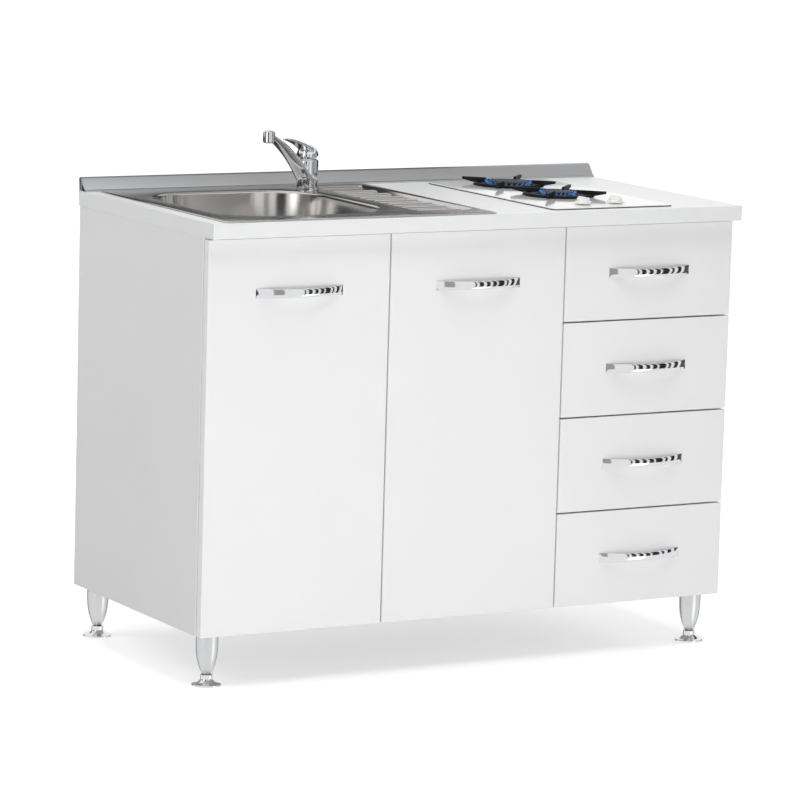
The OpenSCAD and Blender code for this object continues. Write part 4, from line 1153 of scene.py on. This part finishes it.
@dataclass
class Tap:
    """The single-lever mixer tap.

    Its turn is where the spout points, and its tilt how far the cap leans back, in degrees.
    Heights are from the deck. The play is what stays free between the ball and its cap.
    """

    x: float = -151.5
    y: float = 168.0
    deck: float = 913.0
    turn: float = 220.0
    radius: float = 22.5
    body_top: float = 62.0
    reach: float = 208.0
    rise: float = 126.0
    head_radius: float = 12.0
    ball: float = 19.0
    axis: float = 70.0
    play: float = 0.6
    cap: float = 22.5
    tilt: float = 12.0

    def on_deck(self, skin: Skin) -> Skin:
        """Gives a skin, drawn with the spout along X and the deck at z = 0, in its place."""
        move = Matrix.Translation((self.x, self.y, self.deck))
        return skin.turned(move @ Matrix.Rotation(math.radians(self.turn), 4, "Z"))

    @staticmethod
    def arc(radius: float, start: float, sweep: float, steps: int, count: int) -> list[Pair]:
        """Gives points of a dome's profile.

        Args:
            radius: The dome's radius.
            start: Where it starts, in degrees up from its waist.
            sweep: How far it goes in all its steps.
            steps: How many steps that takes.
            count: How many points are given.

        Returns:
            Radius and height of each point.
        """
        turns = [math.radians(start + sweep * i / steps) for i in range(count)]
        return [(radius * math.cos(a), radius * math.sin(a)) for a in turns]

    @staticmethod
    def bent(line: Sequence[Sequence[float]], t: float) -> tuple[float, ...]:
        """Gives the point at t of a curve with a start, a bend and an end."""
        a, b, c = line
        return tuple((1 - t) ** 2 * p + 2 * t * (1 - t) * q + t * t * r for p, q, r in zip(a, b, c))

    def blade(
        self,
        line: Sequence[Sequence[float]],
        sizes: Sequence[Sequence[float]],
        rows: int,
        form: Callable[[float], Pair],
        round_from: float = 2.0,
    ) -> Skin:
        """Lofts a bent blade with rounded edges.

        Args:
            line: Its middle line, as reach and height.
            sizes: Its widths and heights along the line.
            rows: Number of rings.
            form: Gives across and up, each from -1 to 1, at a turn of the section.
            round_from: Where along the line the end begins to round off.

        Returns:
            The blade.
        """
        rings = []
        for k in range(rows + 1):
            t = k / rows
            x, z = self.bent(line, t)
            ahead = self.bent(line, min(1.0, t + 0.01))
            behind = self.bent(line, max(0.0, t - 0.01))
            slope = math.atan2(ahead[1] - behind[1], ahead[0] - behind[0])
            wide, high = self.bent(sizes, t)
            keep = 1.0
            if t > round_from:
                keep = math.sqrt(max(0.0, 1 - (0.985 * (t - round_from) / (1 - round_from)) ** 2))
            ring = []
            for i in range(40):
                across, up = form(2 * math.pi * i / 40)
                side = wide / 2 * across * keep
                lift = high / 2 * up * keep
                ring.append((x - lift * math.sin(slope), -side, z + lift * math.cos(slope)))
            rings.append(ring)
        return Skin().loft(rings)

    @staticmethod
    def spout_form(turn: float) -> Pair:
        """Gives the spout's section: a flat belly, firm shoulders and a ridged back.

        Args:
            turn: The turn of the section, in radians.

        Returns:
            Across and up, each from -1 to 1.
        """
        c, s = math.cos(turn), math.sin(turn)
        across = math.copysign(abs(c) ** 0.8, c)
        if s < 0:
            return across, -0.7 * abs(s) ** 0.45
        return across * (1 - 0.25 * s), abs(s) ** 1.15

    @staticmethod
    def lever_form(turn: float) -> Pair:
        """Gives the lever's section: a shallow crown over a flat belly."""
        c, s = math.cos(turn), math.sin(turn)
        return math.copysign(abs(c) ** 0.75, c), (abs(s) ** 0.8 if s > 0 else -0.6 * abs(s) ** 0.5)

    def body(self) -> Skin:
        """Gives the turning body with its spout and the spout's head.

        Returns:
            The skin, with the spout along X.
        """
        r, top, h, rise = self.radius, self.body_top, self.head_radius, self.rise
        barrel = [
            (0, 8.2), (r - 1.2, 7.6), (r - 0.3, 7.9), (r, 8.8), (r, 26.6), (r - 0.9, 27.1),
            (r - 0.9, 28.1), (r, 28.6), (r, top - 1.4), (r - 0.4, top - 0.4), (r - 1.4, top),
            (0, top),
        ]
        head = [
            (0, rise - h + 2.4), (h - 2.1, rise - h + 2.4), (h - 2.0, rise - h),
            (h - 0.6, rise - h + 0.2), (h, rise - h + 0.9), (h, rise + h * 0.55),
            (h * 0.93, rise + h * 0.80), (h * 0.72, rise + h * 0.95), (h * 0.4, rise + h),
            (0, rise + h),
        ]
        line = [[6, 20], [88, 88], [self.reach, rise + 2]]
        spout = self.blade(line, [[38, 22], [30, 16], [22, 14]], 28, self.spout_form)
        made = Skin().lathe(barrel, segments=72).join(spout)
        return made.join(Skin().lathe(head, segments=48), (self.reach, 0.0, 0.0))

    def lever(self) -> Skin:
        """Gives the cap over the ball with its lever.

        Returns:
            The skin, with the lever along X.
        """
        inside, r = self.ball + self.play, self.cap
        rim = [(inside, 0.4), (r - 0.5, 0.0), (r, 0.6)]
        outer = Skin().lathe([*rim, *self.arc(r, 3, 87, 22, 22), (0, r)], segments=72, capped=False)
        inner = Skin().lathe(self.arc(inside, 1.1, 88.9, 16, 17), segments=72, capped=False)
        lean = Matrix.Rotation(math.radians(self.tilt), 4, "Y")
        shell = outer.join(inner, flip=True).turned(lean)
        line, sizes = [[4, 12], [58, 35], [126, 44]], [[32, 14], [25, 8], [17, 6]]
        shell.join(self.blade(line, sizes, 34, self.lever_form, 0.8))
        return Skin().join(shell, (0.0, 0.0, self.axis))

    def build(self) -> None:
        """Makes the base, the body with its spout, the ball and the lever."""
        stand_in(
            "tap_base", "turned", CHROME_PLATE, "cabinet", "chrome", 0.8, 3, bend=50, smooth=35
        )
        made = self.on_deck(self.body()).piece("tap_body_and_spout", 38)
        dress(made, CHROME_PLATE, "spout", "chrome", "tap_spout")
        coat_solid("tap_aerator", GREY_PLASTIC)
        dome = [(r, self.axis + z) for r, z in self.arc(self.ball, -37, 127, 24, 24)]
        profile = [(0, self.body_top + 0.5), *dome, (0, self.axis + self.ball)]
        made = self.on_deck(Skin().lathe(profile, segments=56)).piece("tap_ball", 40)
        dress(made, CHROME_PLATE, "cartridge", "chrome", "tap_cartridge")
        made = self.on_deck(self.lever()).piece("tap_lever_cast", 40)
        dress(made, CHROME_PLATE, "lever", "chrome", "tap_lever")


@dataclass
class Hob:
    """The gas hob: plate, dishes, burners, pan supports, knobs and flames.

    Each burner has its middle and its crown's radius. The marks are dots round each knob.
    """

    x: float = 312.0
    y: float = -15.0
    top: float = 913.5
    width: float = 280.0
    depth: float = 510.0
    radius: float = 10.0
    burners: dict[str, Pair] = field(
        default_factory=lambda: {"rear": (143.1, 42.0), "front": (-55.8, 31.0)}
    )
    crown_top: float = 918.7
    ports: int = 24
    knobs: dict[str, float] = field(default_factory=lambda: {"rear": 274.0, "front": 350.0})
    knob_y: float = -213.9
    marks: int = 12
    marks_radius: float = 22.0

    def seal(self) -> None:
        """Makes the dark seal that shows round the plate's edge."""
        x = (self.x - self.width / 2, self.x + self.width / 2)
        y = (self.y - self.depth / 2, self.y + self.depth / 2)
        loop = ((0.9, 910.0), (0.9, 911.4), (0.4, 911.8), (-0.6, 911.8), (-0.6, 910.0))
        rings = [rounded_ring(x, y, z, self.radius, -out) for out, z in loop]
        made = Skin().loft([*rings, rings[0]], False, False).piece("hob_seal", 50)
        dress(made, DARK_SEAL, "cabinet", "enamel_black")

    def burner(self, name: str, y: float, r: float) -> None:
        """Makes one burner's cap, spark pin, pan support and flames.

        Args:
            name: "rear" or "front".
            y: Its middle.
            r: Radius of its crown.
        """
        top, cap, support = self.crown_top, f"burner_cap_{name}", f"pan_support_{name}"
        profile = [
            (0, top - 2), (r - 7, top - 2), (r - 7, top + 0.5), (r + 1.2, top + 0.5),
            (r + 1.5, top + 0.9), (r + 1.5, top + 1.9), (r + 0.6, top + 2.8), (r - 1.5, top + 3.4),
            (r * 0.6, top + 4.1), (r * 0.3, top + 4.4), (0, top + 4.5),
        ]
        made = Skin().lathe(profile, (self.x, y), 72).piece(cap + "_enamelled")
        dress(made, BLACK_ENAMEL, cap, "enamel_black", cap)
        stand_in(support, "bent", BLACK_ENAMEL, support, "enamel_black", 0.9, bend=45, smooth=35)
        pin = [(0, 908), (2.4, 908), (2.4, 915), (2.0, 916), (0.9, 916.4), (0.9, 919.5), (0, 920)]
        made = Skin().lathe(pin, (self.x + r + 6.5, y), 20).piece(f"spark_pin_{name}", 40)
        dress(made, WHITE_PLASTIC, "cabinet", "white_plastic")
        tongue = [(0, 0), (1.1, 0.7), (1.7, 2.6), (1.6, 5.2), (1.0, 8.0), (0.4, 10.2), (0, 11.0)]
        lean = Matrix.Rotation(math.radians(52), 4, "Y")
        repeated(
            f"flames_{name}",
            Skin().lathe(tongue, segments=10).turned(lean),
            GAS_FLAME,
            "cabinet",
            None,
            Layout.AROUND,
            Count=self.ports,
            Radius=(r + 0.2) * MM,
            Start=math.pi / self.ports,
            Place=(self.x * MM, y * MM, (top - 2.6) * MM),
        )

    def knob(self, name: str, x: float) -> None:
        """Makes one knob with its pointer, and the marks round it.

        Args:
            name: "rear" or "front".
            x: Its middle.
        """
        body = f"knob_{name}"
        stand_in(body, "moulded", WHITE_PLASTIC, body, "white_plastic", 0.8, 3, bend=50, smooth=35)
        (x0, x1), (y0, y1) = (x - 0.9, x + 0.9), (self.knob_y - 14.2, self.knob_y - 5.5)
        rings = [
            [(x0, y0, z), (x1, y0, z), (x1, y1, z), (x0, y1, z)]
            for z in (self.top + 14.45, self.top + 14.62)
        ]
        line = Skin().loft(rings).piece(body + "_pointer")
        dress(line, PRINTED_GREY, body, "white_plastic")
        repeated(
            body + "_marks",
            Skin().lathe([(0, 0), (1.3, 0), (1.3, 0.12), (0, 0.12)], segments=16),
            PRINTED_GREY,
            "cabinet",
            "enamel_white",
            Layout.AROUND,
            Count=self.marks,
            Radius=self.marks_radius * MM,
            Start=0.0,
            Place=(x * MM, self.knob_y * MM, (self.top + 0.02) * MM),
        )

    def build(self) -> None:
        """Makes every part of the hob."""
        stand_in(
            "hob_plate", "pressed", WHITE_ENAMEL, "cabinet", "enamel_white", 1.0, 3, 50, smooth=35
        )
        self.seal()
        coat_solid("hob_tray", ZINC_PLATE)
        coat_solid("gas_rail", ZINC_PLATE)
        stand_in("burner_dishes", "pressed", BLACK_ENAMEL, "cabinet", "enamel_black", smooth=40)
        coat_solid("burner_crowns", CAST_ALUMINIUM)
        for name, (y, r) in self.burners.items():
            self.burner(name, y, r)
        for name, x in self.knobs.items():
            self.knob(name, x)


# ------------------------------------------------------------------ stage


@dataclass(frozen=True)
class Lamp:
    """A square soft lamp that polished pieces don't mirror.

    Attributes:
        name: Its name.
        place: Where it stands, in metres.
        aim: The point it looks at, in metres.
        size: Its side in metres.
        power: Its power in watts.
    """

    name: str
    place: Point
    aim: Point
    size: float
    power: float

    def build(self) -> None:
        """Makes the lamp."""
        data = bpy.data.lights.new(self.name, "AREA")
        data.energy = self.power
        data.size = self.size
        made = linked(self.name, data)
        made.location = self.place
        turn = (Vector(self.aim) - Vector(self.place)).to_track_quat("-Z", "Y")
        made.rotation_euler = turn.to_euler()
        made.visible_camera = False
        made.visible_glossy = False


@dataclass(frozen=True)
class Card:
    """A studio card that shows only in polished metal.

    Attributes:
        tone: How bright it is, from 0 for black velvet to 1 for white.
        corners: Its four corners in order, in millimetres.
    """

    tone: float
    corners: Sequence[Point]

    @staticmethod
    def upright(
        start: float, end: float, tone: float, foot: float = 0.0, head: float = 2000.0
    ) -> "Card":
        """Gives a card that stands far off, between two directions from the unit.

        Args:
            start: Its first edge, in degrees from +X.
            end: Its last edge, in degrees from +X.
            tone: How bright it is.
            foot: Height of its lower edge.
            head: Height of its upper edge.

        Returns:
            The card.
        """
        turns, (x, y) = (math.radians(start), math.radians(end)), RING_MIDDLE
        low, high = (
            [(x + RING_REACH * math.cos(t), y + RING_REACH * math.sin(t), z) for t in turns]
            for z in (foot, head)
        )
        return Card(tone, [*low, *reversed(high)])

    def build(self, name: str) -> None:
        """Makes the card under a name.

        Args:
            name: The card's name.
        """
        made = linked(name, mesh_of(name, self.corners, [(0, 1, 2, 3)]))
        material = bpy.data.materials.new(name)
        tree = empty_tree(material)
        flat = (self.tone, self.tone, self.tone, 1)
        dim = add_node(tree, "ShaderNodeEmission", {"Color": flat, "Strength": 1.0})
        add_node(tree, "ShaderNodeOutputMaterial", {"Surface": dim})
        made.data.materials.append(material)
        made.visible_camera = False
        made.visible_diffuse = False
        made.visible_shadow = False
        made.visible_transmission = False


LAMPS = (
    Lamp("key", (-1.3, -3.4, 0.55), (0.0, 0.0, 0.35), 1.0, 43.0),
    Lamp("low", (0.9, -2.2, 0.12), (0.4, -0.3, 0.1), 0.7, 3.5),
    Lamp("top", (0.0, -0.8, 3.3), (-0.1, 0.0, 0.9), 2.0, 44.0),
    Lamp("side", (-2.8, 0.6, 2.4), (-0.1, 0.0, 0.7), 1.5, 25.0),
    Lamp("right", (3.4, 0.9, 1.3), (0.0, 0.0, 0.5), 1.8, 42.0),
    Lamp("back", (-0.6, 3.6, 1.2), (0.0, 0.0, 0.5), 1.8, 32.0),
)
# Over the unit a grey ceiling, and low behind the worktop a dark band that the tilted upstand
# and the steel mirror.
CARDS = {
    "grey_ceiling": Card(
        0.5, [(-200, -1600, 2600), (2200, -1600, 2600), (2200, 1200, 2600), (-200, 1200, 2600)]
    ),
    "dark_horizon": Card(
        0.05, [(-750, 310, 925), (130, 310, 925), (655, 310, 1040), (-750, 310, 1040)]
    ),
}
# Round it cards from start to end in degrees, with their tone and, for some, foot and head. The
# narrow black ones give the chrome its stripes, and those below the floor are seen in what bends
# down.
RING_MIDDLE = (-344.0, -21.0)
RING_REACH = 2600.0
RING = (
    (-102, -90, 0.40), (-67, -65, 0.03), (-62, -57, 0.03),
    (-53.5, -49, 0.03), (-46, -41, 0.03), (-39, -31, 0.03),
    (-28, -25, 0.03), (-21, -16, 0.03), (-12, -5, 0.10),
    (0, 22, 0.05), (100, 123, 0.20), (-142, -118, 0.04),
    (-166, -151, 2.20), (-215, -172, 0.25), (-64, -46, 1.90, -1500, -5),
    (75, 118, 0.25, -1500, -5), (0, 35, 0.45, -1500, -5),
)


@dataclass
class Studio:
    """The floor, the lamps, the cards and the camera, with angles in degrees.

    Near the unit the floor's own light is low, which keeps the shadow clear. It rises over the
    fade, in metres from the unit's middle, until the floor is white. The ambient is how much of
    the white world lights matt surfaces.
    """

    place: Point = (-4262.3, -7494.9, 1838.7)
    yaw: float = 29.544
    pitch: float = 8.844
    roll: float = 1.633
    lens: float = 193.05
    ambient: float = 0.35
    floor_near: float = 0.43
    floor_far: float = 0.80
    fade: Pair = (0.5, 2.2)
    floor_reach: float = 30000.0
    floor_z: float = -0.4

    def camera(self) -> None:
        """Makes the camera at the photograph's viewing angle."""
        yaw, pitch, roll = (math.radians(a) for a in (self.yaw, self.pitch, self.roll))
        ahead = Vector(
            (math.sin(yaw) * math.cos(pitch), math.cos(yaw) * math.cos(pitch), -math.sin(pitch))
        )
        right = Vector((math.cos(yaw), -math.sin(yaw), 0.0))
        up = right.cross(ahead)
        side = math.cos(roll) * right + math.sin(roll) * up
        rise = -math.sin(roll) * right + math.cos(roll) * up
        turn = Matrix((side, rise, -ahead)).transposed().to_4x4()
        data = bpy.data.cameras.new("camera")
        data.lens = self.lens
        data.sensor_width = 36.0
        data.clip_end = 100.0
        made = linked("camera", data)
        made.matrix_world = Matrix.Translation([c * MM for c in self.place]) @ turn
        bpy.context.scene.camera = made

    @staticmethod
    def seen_directly(tree: NodeTree) -> Node:
        """Gives 1 for rays that show a background: from the camera, a mirror or through glass.

        Args:
            tree: The tree of the world or the floor.

        Returns:
            The node whose output is 1 or 0.
        """
        path = add_node(tree, "ShaderNodeLightPath").outputs
        seen = path["Is Camera Ray"]
        for kind in ("Is Glossy Ray", "Is Transmission Ray"):
            seen = add_node(tree, "ShaderNodeMath", {0: seen, 1: path[kind]}, operation="MAXIMUM")
        return seen

    def world(self) -> None:
        """Makes a white world that lights matt surfaces less than it shows."""
        world = bpy.data.worlds.new("studio")
        bpy.context.scene.world = world
        tree = empty_tree(world)
        soft, white = (
            add_node(tree, "ShaderNodeBackground", {"Color": WHITE, "Strength": s})
            for s in (self.ambient, 1.0)
        )
        mixed = {0: self.seen_directly(tree), 1: soft, 2: white}
        both = add_node(tree, "ShaderNodeMixShader", mixed)
        add_node(tree, "ShaderNodeOutputWorld", {"Surface": both})

    def floor(self) -> None:
        """Makes the pale floor, which fades to white and keeps the unit's shadow."""
        r = self.floor_reach
        corners = [(x, y, self.floor_z) for x, y in ((-r, -r), (r, -r), (r, r), (-r, r))]
        made = linked("floor", mesh_of("floor", corners, [(0, 1, 2, 3)]))
        material = bpy.data.materials.new("white_floor")
        tree = empty_tree(material)
        matt = add_node(tree, "ShaderNodeBsdfDiffuse", {"Color": (0.8, 0.8, 0.8, 1)})
        spot = add_node(tree, "ShaderNodeTexCoord").outputs["Object"]
        far = add_node(tree, "ShaderNodeVectorMath", {0: spot}, operation="LENGTH").outputs["Value"]
        grading = (far, *self.fade, self.floor_near, self.floor_far)
        glow = add_node(tree, "ShaderNodeMapRange", dict(enumerate(grading)))
        lift = add_node(tree, "ShaderNodeEmission", {"Color": WHITE, "Strength": glow})
        none = add_node(tree, "ShaderNodeEmission", {"Strength": 0.0})
        mixed = {0: self.seen_directly(tree), 1: none, 2: lift}
        extra = add_node(tree, "ShaderNodeMixShader", mixed)
        whole = add_node(tree, "ShaderNodeAddShader", {0: matt, 1: extra})
        add_node(tree, "ShaderNodeOutputMaterial", {"Surface": whole})
        made.data.materials.append(material)
        made.visible_glossy = False

    def build(self) -> None:
        """Makes the whole studio."""
        bpy.context.scene.view_settings.view_transform = "Standard"
        self.camera()
        self.world()
        self.floor()
        for lamp in LAMPS:
            lamp.build()
        for name, card in CARDS.items():
            card.build(name)
        for k, sizes in enumerate(RING):
            Card.upright(*sizes).build(f"card_{k}")


def main() -> None:
    """Builds the studio and every sub-assembly in order."""
    logging.basicConfig(level=logging.INFO, format="%(message)s")
    Studio().build()
    for part in (Cabinet(), Legs(), Fronts(), Sink(), Tap(), Hob()):
        log.info("-- %s", type(part).__name__)
        part.build()
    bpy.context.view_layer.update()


if __name__ == "__main__":
    main()
